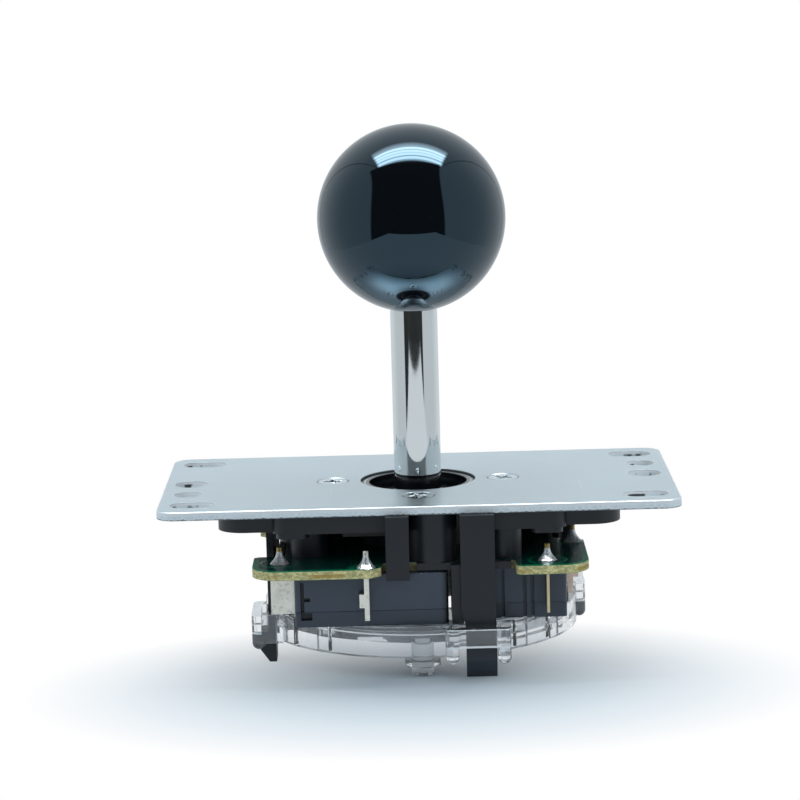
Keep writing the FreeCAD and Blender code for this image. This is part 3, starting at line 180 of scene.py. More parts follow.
class JoystickColours(bpy.types.PropertyGroup):
    """Colours of the finishes."""
    zinc: a_colour("Zinc", "Satin zinc of the mounting plate", (0.515, 0.602, 0.645))
    screw: a_colour("Screw", "Bright zinc of the plate screws", (0.66, 0.74, 0.78))
    chrome: a_colour("Chrome", "Polished chrome plate of the shaft", (0.72, 0.755, 0.765))
    ball: a_colour("Ball", "Polished black of the ball", (0.004, 0.005, 0.007))
    housing: a_colour("Housing", "Moulded black of the housing", (0.0115, 0.0150, 0.0205))
    pivot: a_colour("Pivot", "Glossy black of the pivot", (0.006, 0.0065, 0.008))
    switch: a_colour("Switch", "Dark blue grey of the microswitches", (0.052, 0.067, 0.096))
    mask: a_colour("Solder mask", "Green lacquer of the board", (0.004, 0.046, 0.038))
    copper_track: a_colour("Track", "Green lacquer over a copper track", (0.008, 0.180, 0.085))
    laminate: a_colour("Laminate", "Cream edge of the board", (0.66, 0.60, 0.28))
    ochre: a_colour("Ochre", "Ochre stretches of the board's edge", (0.42, 0.27, 0.06))
    tin: a_colour("Tin", "Tinned faces of the terminals", (0.95, 0.93, 0.84))
    brass: a_colour("Brass", "Bare brass of the terminals", (0.72, 0.58, 0.30))
    copper: a_colour("Copper", "Bare copper of the terminals", (0.80, 0.56, 0.44))
    solder: a_colour("Solder", "Bright solder", (0.88, 0.90, 0.92))
    clear: a_colour("Clear", "Clear plastic of the gate", (0.93, 0.96, 0.985))
    steel: a_colour("Steel", "Plain steel of the seat, spring and clip", (0.56, 0.57, 0.58))
    white: a_colour("White", "White moulding of the actuator", (0.74, 0.74, 0.70))
    cream: a_colour("Cream", "Cream moulding of the connector", (0.78, 0.73, 0.58))
    red: a_colour("Red", "Red moulding of the plungers", (0.30, 0.035, 0.025))
    insert: a_colour("Insert", "Turned brass of the ball's insert", (0.74, 0.58, 0.30))


class JoystickStage(bpy.types.PropertyGroup):
    """Floor, light and camera."""
    floor_colour: a_colour("Floor", "Pale floor", (0.68, 0.78, 0.86))
    light_tint: a_colour("Light tint", "Tint of the light from all round", (0.90, 0.96, 1.0))
    wall_level: a_number("Wall level", "Brightness of the tent's walls, in mirrors", 0.68)
    back_level: a_number("Back level", "Brightness behind the object, in mirrors", 0.84)
    opening_level: a_number("Opening level", "Brightness of the tent's front, in mirrors", 0.03)
    softbox_level: a_number("Softbox level", "Brightness overhead, in mirrors", 7.0, high=100.0)
    strip_level: a_number("Strip level", "Brightness of the strip lamps, in mirrors", 15.0, high=100.0)
    fill_level: a_number("Fill level", "Soft light from all round", 0.62)
    lamp_level: a_number("Lamp level", "Radiance of the lamps overhead", 4.0, high=100.0)
    floor_level: a_number("Floor level", "Brightness of the floor, in mirrors", 0.82)
    wall_distance: a_length("Wall distance", "From the lever to the side walls", 0.18, 0.1, 2.0)
    floor_front: a_length("Floor front", "Reach of the floor forward, in mirrors", 0.34, 0.1, 2.0)
    shadow_length: a_length("Shadow length", "Half length of the shaded patch", 0.045, 0.01, 1.0)
    shadow_width: a_length("Shadow width", "Half width of the shaded patch", 0.031, 0.01, 1.0)
    shadow_forward: a_length("Shadow forward", "How far in front the patch lies", 0.033, 0.0, 1.0)
    strip_height: a_length("Strip height", "Height of the lamps over the plate", 0.40, 0.1, 2.0)
    lens: a_number("Lens", "Focal length of the camera in millimetres", 138.92, 10.0, 500.0)


# Meshes
def mesh_from(node, solids):
    """One mesh from several closed surfaces, each a pair of points and faces. Doubled points are merged, and
    the faces turn outwards: six times the volume is the sum over triangles of the first corner dotted with
    the cross product of the other two."""
    starts = np.cumsum([0] + [len(points) for points, _ in solids])
    points = np.vstack([points for points, _ in solids])
    faces = np.vstack([quads + start for (_, quads), start in zip(solids, starts)])
    mesh = bpy.data.meshes.new(node + "_mesh")
    mesh.from_pydata(points.tolist(), [], faces.tolist())
    work = bmesh.new()
    work.from_mesh(mesh)
    bmesh.ops.remove_doubles(work, verts=work.verts, dist=0.0005 * MM)
    if work.calc_volume(signed=True) < 0:
        bmesh.ops.reverse_faces(work, faces=work.faces)
    work.to_mesh(mesh)
    work.free()
    return mesh


def grid_quads(rows, columns):
    """Corner numbers of the quads of a grid whose last column meets its first."""
    index = np.arange(rows * columns).reshape(rows, columns)
    ahead = np.roll(index, -1, axis=1)
    return np.stack([index[:-1], ahead[:-1], ahead[1:], index[1:]], axis=-1).reshape(-1, 4)


def swung(radius, height, segments, centre=(0.0, 0.0)):
    """Turns rows of radius and height round Z: x is the radius times the cosine of the angle and y is the
    radius times its sine, about the centre. Either input is one number a row, or one for each point."""
    angle = np.linspace(0.0, TURN, segments, endpoint=False)
    radius, height = (np.broadcast_to(np.asarray(rows, float).reshape(len(rows), -1), (len(rows), segments))
                      for rows in (radius, height))
    x, y = centre[0] + radius * np.cos(angle), centre[1] + radius * np.sin(angle)
    points = np.stack([x, y, height], axis=-1)
    return points.reshape(-1, 3), grid_quads(len(radius), segments)


def rounded_line(corners, radius, steps=5):
    """A line of (radius, height) corners with each inner corner rounded: the curve is the quadratic one that
    starts and ends the given length from the corner, so it is (1-t)^2 a + 2t(1-t) corner + t^2 b."""
    corners = np.asarray(corners, float)
    here = corners[1:-1]
    back, on = corners[:-2] - here, corners[2:] - here
    back_length, on_length = (np.linalg.norm(arm, axis=1)[:, None] for arm in (back, on))
    reach = np.minimum(np.minimum(back_length, on_length) * 0.45, radius)
    start, end = here + back / back_length * reach, here + on / on_length * reach
    t = np.linspace(0.0, 1.0, steps)[None, :, None]
    curve = (1 - t) ** 2 * start[:, None] + 2 * t * (1 - t) * here[:, None] + t ** 2 * end[:, None]
    return np.vstack([corners[:1], curve.reshape(-1, 2), corners[-1:]])


def tube(path, side, radius, sides=20):
    """A round bar along a path: each ring's point is the path's point plus the radius times the cosine of the
    angle along the side direction and its sine along the direction across side and path."""
    ahead = np.gradient(path, axis=0)
    ahead /= np.linalg.norm(ahead, axis=1)[:, None]
    side = side - (side * ahead).sum(axis=1)[:, None] * ahead
    side /= np.linalg.norm(side, axis=1)[:, None]
    across = np.cross(ahead, side)
    angle = np.linspace(0.0, TURN, sides, endpoint=False)[None, :, None]
    rings = path[:, None] + radius * (np.cos(angle) * side[:, None] + np.sin(angle) * across[:, None])
    caps = [np.broadcast_to(path[end, None], (1, sides, 3)) for end in (0, -1)]
    rings = np.concatenate([caps[0], rings, caps[1]])
    return rings.reshape(-1, 3), grid_quads(len(rings), sides)


def quarter_turned(points, turn):
    """Points after so many quarter turns about the lever's axis."""
    c, s = ((1, 0), (0, 1), (-1, 0), (0, -1))[turn % 4]
    points = np.asarray(points, float)
    return np.stack([c * points[..., 0] - s * points[..., 1], s * points[..., 0] + c * points[..., 1],
                     points[..., 2]], axis=-1)


def softened_mesh(node, width, segments):
    """A node's mesh with its edges rounded: doubles merged, flat faces joined to polygons, and each edge
    whose faces meet at more than 28 degrees replaced by a narrow curved strip."""
    flat_under, sharp_over = math.radians(0.6), math.radians(28.0)
    work = bmesh.new()
    work.from_mesh(frame["nodes"][node].data)
    bmesh.ops.remove_doubles(work, verts=work.verts, dist=0.002 * MM)
    bmesh.ops.dissolve_limit(work, angle_limit=flat_under, verts=work.verts, edges=work.edges)
    sharp = [edge for edge in work.edges
             if len(edge.link_faces) == 2 and edge.calc_face_angle(0.0) > sharp_over]
    bmesh.ops.bevel(work, geom=sharp, offset=width, offset_type="OFFSET", segments=segments, profile=0.5,
                    affect="EDGES", clamp_overlap=True)
    mesh = bpy.data.meshes.new(node + "_soft")
    work.to_mesh(mesh)
    work.free()
    return mesh


def add_piece(node, mesh, material, rides=True):
    """Puts a mesh in the scene in its node's place, with smooth faces and weighted normals. It rides on the
    node's body, unless rides is false; then it is left free."""
    piece = bpy.data.objects.new(node + "_dressed", mesh)
    bpy.context.scene.collection.objects.link(piece)
    mesh.materials.clear()
    mesh.materials.append(material)
    mesh.polygons.foreach_set("use_smooth", np.ones(len(mesh.polygons), bool))
    weighted = piece.modifiers.new("weighted_normals", "WEIGHTED_NORMAL")
    weighted.mode = "FACE_AREA"
    weighted.weight = 50
    if rides:
        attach(piece, BODY_OF[node])
    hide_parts(node)
    return piece


def soften_node(node, width, material, segments=2):
    """Replaces a node by its own shape with rounded edges."""
    add_piece(node, softened_mesh(node, width, segments), material)


def turn_node(node, line, segments, material):
    """Replaces a node by a line of radius and height turned round Z."""
    solid = swung(line[:, 0], line[:, 1], segments)
    add_piece(node, mesh_from(node, [solid]), material)


# Finishes
def step(operation):
    """A Field method that does one step of arithmetic with a number or another field."""
    def method(self, other=0.0):
        return self.recipe.math(operation, self, other)
    return method


class Field:
    """A number that varies over a surface. Arithmetic with it adds the nodes that work the result out."""
    __add__, __sub__, __mul__, __truediv__ = step("ADD"), step("SUBTRACT"), step("MULTIPLY"), step("DIVIDE")
    __gt__, __lt__, __abs__ = step("GREATER_THAN"), step("LESS_THAN"), step("ABSOLUTE")
    most, least, root, sign = step("MAXIMUM"), step("MINIMUM"), step("SQRT"), step("SIGN")

    def __init__(self, recipe, socket):
        self.recipe, self.socket = recipe, socket

    def __rsub__(self, other):
        return self.recipe.math("SUBTRACT", other, self)

    def span(self, low, high, start=0.0, end=1.0, smooth=False):
        """The range from low to high made start to end."""
        ranges = {"Value": self, "From Min": low, "From Max": high, "To Min": start, "To Max": end}
        return self.recipe.field("ShaderNodeMapRange", ranges, clamp=True,
                                 interpolation_type="SMOOTHSTEP" if smooth else "LINEAR")

    def blend(self, first, second):
        """Two colours mixed: the first where the field is 0, the second where it is 1."""
        return self.recipe.add("ShaderNodeMix", {0: self, 6: first, 7: second}, data_type="RGBA").outputs[2]


class Recipe:
    """Adds shader nodes to one material or world by short calls, so that a finish reads as a recipe."""

    def __init__(self, name, family="materials", coordinates="Object"):
        self.owner = getattr(bpy.data, family).new(name)
        self.owner.use_nodes = True
        self.tree = self.owner.node_tree
        self.tree.nodes.clear()
        self.place = self.add("ShaderNodeTexCoord").outputs[coordinates]

    def add(self, kind, inputs=None, **settings):
        """One node. An input takes a number, a colour, a field or another node's output."""
        made = self.tree.nodes.new(kind)
        for key, value in settings.items():
            setattr(made, key, value)
        for key, value in (inputs or {}).items():
            socket = made.inputs[key]
            value = value.socket if isinstance(value, Field) else value
            if isinstance(value, bpy.types.NodeSocket):
                self.tree.links.new(value, socket)
            else:
                socket.default_value = (*value, 1.0) if socket.type == "RGBA" else value
        return made

    def field(self, kind, inputs, output=0, **settings):
        """A field that one node works out."""
        return Field(self, self.add(kind, inputs, **settings).outputs[output])

    def math(self, operation, first, second):
        """One step of arithmetic between numbers and fields."""
        return self.field("ShaderNodeMath", {0: first, 1: second}, operation=operation)

    def mapped(self, scale, turn=0.0):
        """The object's own coordinates, stretched, and turned about Z."""
        inputs = {"Vector": self.place, "Scale": scale, "Rotation": (0.0, 0.0, turn)}
        return self.add("ShaderNodeMapping", inputs).outputs["Vector"]

    def noise(self, scale, detail=3.0, roughness=0.55, stretch=None, turn=0.0, distortion=0.0):
        """Soft noise; scale counts its lumps in a metre, before they are stretched."""
        vector = self.mapped(stretch, turn) if stretch else self.place
        inputs = {"Vector": vector, "Scale": scale, "Detail": detail, "Roughness": roughness,
                  "Distortion": distortion}
        return self.field("ShaderNodeTexNoise", inputs)

    def axis(self, name):
        """One of the object's own coordinates."""
        return self.field("ShaderNodeSeparateXYZ", {"Vector": self.place}, name)

    def away(self, x=0.0, y=0.0, place=None):
        """Distance from the upright line through (x, y)."""
        inputs = {0: place or self.mapped((1.0, 1.0, 0.0)), 1: (x, y, 0.0)}
        return self.field("ShaderNodeVectorMath", inputs, "Value", operation="DISTANCE")

    def ray(self, kind):
        """1 for rays of this kind, and 0 for others."""
        return self.field("ShaderNodeLightPath", {}, "Is %s Ray" % kind)

    def mix(self, factor, first, second):
        """A number between two others."""
        return self.field("ShaderNodeMix", {0: factor, 2: first, 3: second}, data_type="FLOAT")

    def shader(self, kind, inputs=None):
        """The output of a shader node."""
        return self.add(kind, inputs).outputs[0]

    def finish(self, colour, roughness, relief, depth, **rest):
        """The surface itself. Where the relief is 1, it stands as far out as depth says."""
        names = {"metallic": "Metallic", "coat": "Coat Weight", "coat_roughness": "Coat Roughness",
                 "ior": "IOR", "transmission": "Transmission Weight", "tint": "Specular Tint"}
        normal = self.shader("ShaderNodeBump", {"Height": relief, "Distance": depth, "Strength": 1.0})
        inputs = {"Base Color": colour, "Roughness": roughness, "Normal": normal}
        inputs.update({names[key]: value for key, value in rest.items()})
        surface = self.shader("ShaderNodeBsdfPrincipled", inputs)
        self.add("ShaderNodeOutputMaterial", {"Surface": surface})
        return self.owner


def shade(colour, factor):
    """A colour made darker or lighter."""
    return tuple(min(1.0, part * factor) for part in colour)


def satin_zinc(colours):
    """Zinc plate: fine rolled grain, faint cloudy passivation and hairline scratches. The cut faces are
    paler, with fine upright shear marks, a near white painted highlight along their upper band and a darker
    torn line along their lower edge. The window's wall is painted near black as shade, and the walls of slots
    and holes carry painted reflection: light with dark patches, and a white painted highlight along their
    top."""
    recipe = Recipe("satin_zinc")
    zinc, bright, black = colours.zinc, (0.86, 0.93, 0.96), (0.05, 0.065, 0.07)
    window, holes_from, rim, broken = 13.0 * MM, 20.0 * MM, 1.6 * MM, -1.38 * MM
    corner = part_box("mounting_plate")[1]
    x, y, level, away = abs(recipe.axis("X")), abs(recipe.axis("Y")), recipe.axis("Z"), recipe.away()
    grain = recipe.noise(5200.0, 2.0, stretch=(1.0, 0.35, 1.0))
    cloud = recipe.noise(42.0, 4.0, 0.6)
    hair = recipe.noise(900.0, 1.0, stretch=(0.06, 1.0, 1.0), turn=0.5).span(0.72, 0.76)
    other_hair = recipe.noise(700.0, 1.0, stretch=(1.0, 0.05, 1.0), turn=-0.35).span(0.74, 0.78)
    scratch = hair.most(other_hair)
    torn = recipe.noise(1900.0, 3.0, 0.65, stretch=(1.0, 1.0, 0.30))
    lining = recipe.noise(430.0, 1.0, 0.5, stretch=(1.0, 1.0, 0.4))
    edge = level.span(-0.18 * MM, -0.05 * MM, 1.0, 0.0)
    break_line = level + torn.span(0.3, 0.7, -0.15 * MM, 0.15 * MM)
    torn_edge = break_line.span(broken - 0.09 * MM, broken, 1.0, 0.0)
    pale = torn.span(0.35, 0.65).blend(bright, (0.72, 0.79, 0.83))
    # Painted highlight: the cut faces' upper band is near white.
    pale = level.span(-0.85 * MM, -0.60 * MM).blend(pale, (0.86, 0.89, 0.91))
    # Painted shade: the window's wall goes near black.
    pale = away.span(window, window + 0.2 * MM, 0.93, 0.0).blend(pale, shade(zinc, 0.04))
    # Painted reflection on the walls of slots and holes: light with dark patches, under a white painted
    # highlight along their top band.
    plated = lining.span(0.54, 0.62).blend(bright, black)
    plated = level.span(-0.60 * MM, -0.45 * MM).blend(plated, WHITE)
    in_hole = (x < corner.x - rim) * (y < corner.y - rim) * (away > holes_from)
    colour = cloud.span(0.3, 0.7).blend(shade(zinc, 0.955), shade(zinc, 1.03))
    colour = (scratch * 0.22).blend(colour, shade(zinc, 1.3))
    colour = edge.blend(colour, in_hole.blend(pale, plated))
    colour = (torn_edge * 0.8).blend(colour, shade(zinc, 0.16))
    roughness = cloud.span(0.3, 0.7, 0.27, 0.34) + edge * 0.16
    metal = edge.span(0.0, 1.0, 0.72, 0.15) + torn_edge * 0.5
    relief = grain * 0.10 + scratch * -0.35 + torn * edge * 1.5
    return recipe.finish(colour, roughness, relief, 0.010 * MM, metallic=metal)


def bright_zinc(colours):
    """Plated screws: bright, with fine turning marks, and painted shade in the recess and in a dark line
    round the head.
    """
    recipe = Recipe("bright_zinc")
    marks = recipe.noise(3200.0, 2.0)
    deep = recipe.axis("Z").span(-1.1 * MM, -0.55 * MM, 1.0, 0.0)
    flat = recipe.mapped((1.0, 1.0, 0.0))
    folded = recipe.add("ShaderNodeVectorMath", {0: flat}, operation="ABSOLUTE").outputs["Vector"]
    near = recipe.away(0.0, SCREW_CIRCLE, folded).least(recipe.away(SCREW_CIRCLE, 0.0, folded))
    # Painted shade: the recess and a thin ring round the head go near black.
    dark = deep.most(near.span(2.70 * MM, 2.80 * MM))
    colour = (dark * 0.9).blend(colours.screw, shade(colours.screw, 0.12))
    colour = marks.span(0.45, 0.65, 0.0, 0.2).blend(colour, shade(colours.screw, 0.8))
    return recipe.finish(colour, marks.span(0.3, 0.7, 0.20, 0.32), marks, 0.006 * MM, metallic=1.0)


def polished_chrome(colours):
    """Chrome plate: near mirror, with faint polishing lines and smudges."""
    recipe = Recipe("polished_chrome")
    lines = recipe.noise(2600.0, 2.0, stretch=(1.0, 1.0, 0.04))
    smudge = recipe.noise(150.0, 4.0, 0.65)
    colour = smudge.span(0.45, 0.75, 0.0, 0.12).blend(colours.chrome, shade(colours.chrome, 0.8))
    return recipe.finish(colour, smudge.span(0.35, 0.75, 0.03, 0.085), lines, 0.0009 * MM, metallic=1.0)


def polished_black(colours):
    """Ball: deep gloss black with a bluish reflection, and the slight waviness of a polished moulding."""
    recipe = Recipe("polished_black")
    wave = recipe.noise(90.0, 1.0)
    dust = recipe.noise(1500.0, 2.0).span(0.72, 0.78)
    colour = (dust * 0.05).blend(colours.ball, (0.3, 0.32, 0.34))
    return recipe.finish(colour, wave.span(0.3, 0.7, 0.016, 0.030), wave, 0.006 * MM, ior=1.70,
                         tint=(0.48, 0.78, 1.0))


def moulding(recipe, colour, roughness, cloud=0.16, specks=0.12, pale=2.2):
    """What moulded plastics share: fine spark-eroded texture, slow flow, a clouded tone and a gloss that
    follows the flow."""
    fine = recipe.noise(4200.0, 3.0, 0.6)
    flow = recipe.noise(120.0, 3.0, 0.6, distortion=0.6)
    tone = flow.span(0.3, 0.7).blend(shade(colour, 1.0 - cloud), shade(colour, 1.0 + cloud))
    tone = fine.span(0.62, 0.80, 0.0, specks).blend(tone, shade(colour, pale))
    return fine, flow, tone, flow.span(0.25, 0.75, roughness - 0.05, roughness + 0.06)


def moulded(name, colour, roughness, texture, cloud):
    """Plain moulded plastic; texture is the depth of its relief in millimetres."""
    recipe = Recipe(name)
    fine, _, tone, gloss = moulding(recipe, colour, roughness, cloud)
    return recipe.finish(tone, gloss, fine, texture * MM)


def housing_black(colours):
    """Housing: moulded black, glossier at the collar inside the plate's window, with painted shade over that
    collar and a painted highlight in a thin ring round its rim. The well inside the collar is glossy too, and
    the clips' feet carry painted light from the floor below."""
    recipe = Recipe("housing_black")
    collar_edge, highlight_ring, well_edge = 11.0 * MM, 10.0 * MM, 9.4 * MM
    black, level, away = colours.housing, recipe.axis("Z"), recipe.away()
    fine, flow, tone, gloss = moulding(recipe, black, 0.40)
    collar = level.span(-1.4 * MM, -1.3 * MM) * away.span(collar_edge, collar_edge + 0.1 * MM, 1.0, 0.0)
    # Painted highlight: a thin light ring round the collar's rim.
    worn = abs(away - highlight_ring).span(0.14 * MM, 0.26 * MM, 1.0, 0.0) * collar
    well = level.span(-6.1 * MM, -6.0 * MM) * away.span(well_edge, well_edge + 0.1 * MM, 1.0, 0.0)
    # Painted shade: the collar inside the plate's window is darkened.
    tone = (collar * 0.8).blend(tone, shade(black, 0.3))
    tone = (worn * flow.span(0.30, 0.55, 0.25, 0.9)).blend(tone, (0.42, 0.47, 0.50))
    # Painted light: the clips' feet are lighter, for the floor's bounce light.
    tone = level.span(-27.5 * MM, -25.5 * MM, 0.8, 0.0).blend(tone, shade(black, 2.1))
    return recipe.finish(tone, gloss - collar.most(well) * 0.24, fine, 0.012 * MM)


def switch_plastic(colours):
    """Microswitch plastic: dark blue grey, with painted shade: near black down in the grooves and towards the
    case's end, and darker over the cover below its seam. Along is the distance along a switch's own length
    and out the distance from the lever's axis, the same in all four quarters."""
    recipe = Recipe("switch_blue_grey")
    grey, groove_start, face_groove_end, end_groove_end = colours.switch, -22.65 * MM, -19.0 * MM, -21.8 * MM
    fine, _, tone, gloss = moulding(recipe, grey, 0.36, 0.08, 0.10, 1.8)
    seam, end = top_of("switch_cover_front"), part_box("switch_case_front")[1].x
    x, y = recipe.axis("X"), recipe.axis("Y")
    wide, deep = abs(x), abs(y)
    out = wide.most(deep)
    along = recipe.mix(wide > deep, y.sign() * x * -1.0, x.sign() * y)
    past = along > groove_start
    face_groove = past * (along < face_groove_end) * (out > 25.3 * MM) * (out < 26.25 * MM)
    end_groove = past * (along < end_groove_end) * (out < 24.0 * MM)
    end_shade = along.span(end - 1.3 * MM, end - 0.5 * MM, 0.0, 0.85) * (along < end + 0.1 * MM)
    # Painted shade: the cover below its seam is darker.
    tone = recipe.axis("Z").span(seam - 0.1 * MM, seam, 0.4, 0.0).blend(tone, shade(grey, 0.5))
    # Painted shade: the case's rounded end goes near black.
    tone = end_shade.blend(tone, shade(grey, 0.12))
    # Painted shade: the grooves go near black.
    tone = (face_groove.most(end_groove) * 0.9).blend(tone, shade(grey, 0.06))
    return recipe.finish(tone, gloss, fine, 0.010 * MM)


def greased_black(colours):
    """Pivot: glossy black with a thin uneven film of grease."""
    recipe = Recipe("greased_black")
    film = recipe.noise(420.0, 4.0, 0.65, distortion=0.8)
    tone = film.span(0.5, 0.8, 0.0, 0.5).blend(colours.pivot, shade(colours.pivot, 3.0))
    gloss = film.span(0.3, 0.7, 0.10, 0.30)
    return recipe.finish(tone, gloss, film, 0.05 * MM, coat=0.5, coat_roughness=0.06)


def clear_plastic(name, colour, glints=(), reach=0.0):
    """Clear moulded plastic: smooth, with faint flow waves, a slight haze and a few mould marks. Past the
    reach, its edges at the glints' heights carry a painted glint: a thin metallic line."""
    recipe = Recipe(name)
    flow = recipe.noise(160.0, 2.0, 0.5, distortion=0.7)
    marks = recipe.noise(1400.0, 2.0).span(0.66, 0.76)
    gloss = flow.span(0.3, 0.7, 0.008, 0.035) + marks * 0.12
    tone = recipe.noise(70.0, 2.0).span(0.35, 0.65).blend(colour, shade(colour, 0.90))
    bright = 0.0
    # Painted glint: metallic lines along the edges stand in for their bright refraction.
    if glints:
        lines = [abs(recipe.axis("Z") - height).span(0.14 * MM, 0.22 * MM, 0.75, 0.0) for height in glints]
        out = abs(recipe.axis("X")).most(abs(recipe.axis("Y")))
        bright = reduce(Field.most, lines) * (out > reach)
    return recipe.finish(tone, gloss, flow, 0.012 * MM, metallic=bright, transmission=0.93, ior=1.49)


def board_finish(colours):
    """Board: green lacquer over copper on both faces, paler at the rim and in a curved track round each pin,
    and a cream laminate edge with mottled layers and stretches of ochre, painted near black as shade in the
    notches. How far out a point lies follows the board's outline: the distance to the inner square that its
    round corners are drawn about."""
    recipe = Recipe("board_laminate")
    copper, laminate = colours.copper_track, colours.laminate
    corner_radius, skin, notch_depth = 5.0 * MM, 0.03 * MM, 4.4 * MM
    top, bottom, reach = top_of("switch_board"), bottom_of("switch_board"), radius_of("switch_board")
    x, y, level = abs(recipe.axis("X")), abs(recipe.axis("Y")), recipe.axis("Z")
    lacquer = (level > top - skin).most(level < bottom + skin)
    inner = reach - corner_radius
    past_x, past_y = (x - inner).most(0.0), (y - inner).most(0.0)
    out = (past_x * past_x + past_y * past_y).root() + inner
    rings = []
    for turn in range(4):
        for place, radius, fade_from, fade_to, strength in ((PIN_PLACES[0], 3.3, 0.26, 0.36, 1.0),
                                                            (PIN_PLACES[1], 2.7, 0.40, 0.85, 0.75)):
            away = recipe.away(*quarter_turned((*place, 0.0), turn)[:2])
            rings.append(abs(away - radius * MM).span(fade_from * MM, fade_to * MM, strength, 0.0))
    weave, cloud = recipe.noise(900.0, 2.0), recipe.noise(140.0, 3.0)
    fleck = recipe.noise(1300.0, 4.0, 0.7, stretch=(1.0, 1.0, 1.6))
    track = reduce(Field.most, rings) * cloud.span(0.35, 0.65, 0.45, 1.0)
    rim = out.span(reach - 1.15 * MM, reach - 1.00 * MM) * 0.85
    green = track.blend(colours.mask, shade(copper, 1.5))
    green = rim.blend(green, shade(copper, 1.9))
    green = weave.span(0.35, 0.75, 0.0, 0.2).blend(green, shade(copper, 0.4))
    middle = abs(level - ((top + bottom) / 2 - 0.15 * MM)).span(0.28 * MM, 0.40 * MM, 0.85, 0.0)
    stripe = recipe.noise(95.0, 1.0).span(0.47, 0.53) * middle
    below = level.span(bottom, bottom + 0.25 * MM, 1.0, 0.0) * 0.5
    notch_shade = out.span(reach - notch_depth - 0.2 * MM, reach - notch_depth, 0.65, 0.0)
    cream = fleck.span(0.42, 0.60).blend(shade(laminate, 0.62), shade(laminate, 1.30))
    cream = stripe.blend(cream, colours.ochre)
    cream = below.blend(cream, shade(laminate, 0.45))
    # Painted shade: the edge in the deep notch goes near black.
    cream = notch_shade.blend(cream, (0.05, 0.05, 0.04))
    relief = (1.0 - lacquer) * fleck + track * 0.5
    return recipe.finish(lacquer.blend(cream, green), lacquer.span(0.0, 1.0, 0.72, 0.16), relief, 0.06 * MM)


def bright_solder(colours):
    """Solder: bright, with frosty patches and flux brown at its foot."""
    recipe = Recipe("bright_solder")
    frost = recipe.noise(1300.0, 4.0, 0.65, distortion=0.5)
    low = bottom_of("solder_joints")
    foot = recipe.axis("Z").span(low, low + 0.16 * MM, 0.5, 0.0)
    colour = frost.span(0.40, 0.75).blend(colours.solder, shade(colours.solder, 0.6))
    colour = foot.blend(colour, (0.16, 0.13, 0.06))
    return recipe.finish(colour, frost.span(0.35, 0.7, 0.16, 0.40), frost, 0.16 * MM, metallic=0.68)


def terminal_metal(colours):
    """Terminals: tin with brown specks, worn to brass and copper to the right, with pins of silver and
    brass."""
    recipe = Recipe("terminal_metal")
    patch = recipe.noise(260.0, 4.0, 0.6, distortion=0.5)
    specks = recipe.noise(1500.0, 4.0, 0.7)
    x, solder = recipe.axis("X"), top_of("solder_joints")
    worn = x.span(-4.0 * MM, 12.0 * MM, 0.0, 0.85) + patch.span(0.60, 0.80, -0.05, 0.30)
    bare = x.span(24.0 * MM, 26.0 * MM).blend(colours.brass, colours.copper)
    silver = x.span(-18.0 * MM, -16.0 * MM) * x.span(0.0, 1.0 * MM, 1.0, 0.0)
    tip = recipe.axis("Z").span(solder - 0.3 * MM, solder + 0.1 * MM)
    colour = worn.blend(colours.tin, bare)
    colour = specks.span(0.55, 0.70, 0.0, 0.6).blend(colour, (0.30, 0.22, 0.13))
    colour = tip.blend(colour, silver.blend((0.42, 0.32, 0.12), (0.85, 0.83, 0.76)))
    return recipe.finish(colour, patch.span(0.3, 0.7, 0.26, 0.44), specks, 0.045 * MM,
                         metallic=x.span(16.0 * MM, 24.0 * MM, 0.90, 0.75))


def plain_metal(name, colour, roughness):
    """Drawn, stamped or turned metal with a fine grain."""
    recipe = Recipe(name)
    grain, cloud = recipe.noise(3600.0, 3.0), recipe.noise(240.0, 3.0)
    tone = cloud.span(0.3, 0.7).blend(shade(colour, 0.82), shade(colour, 1.08))
    gloss = cloud.span(0.3, 0.7, roughness - 0.06, roughness + 0.08)
    return recipe.finish(tone, gloss, grain, 0.006 * MM, metallic=1.0)


# Pieces
class PieceOperator:
    """What the operators share: the sizes and colours, and a finished state."""
    bl_options = {"REGISTER", "UNDO"}

    def execute(self, context):
        self.make(context.scene.joystick_sizes, context.scene.joystick_colours)
        return {"FINISHED"}


class JOYSTICK_OT_plate(PieceOperator, bpy.types.Operator):
    """Mounting plate with broken edges round its window, slots and holes"""
    bl_idname = "joystick.plate"
    bl_label = "Mounting plate"

    def make(self, sizes, colours):
        soften_node("mounting_plate", sizes.plate_edge, satin_zinc(colours), 3)


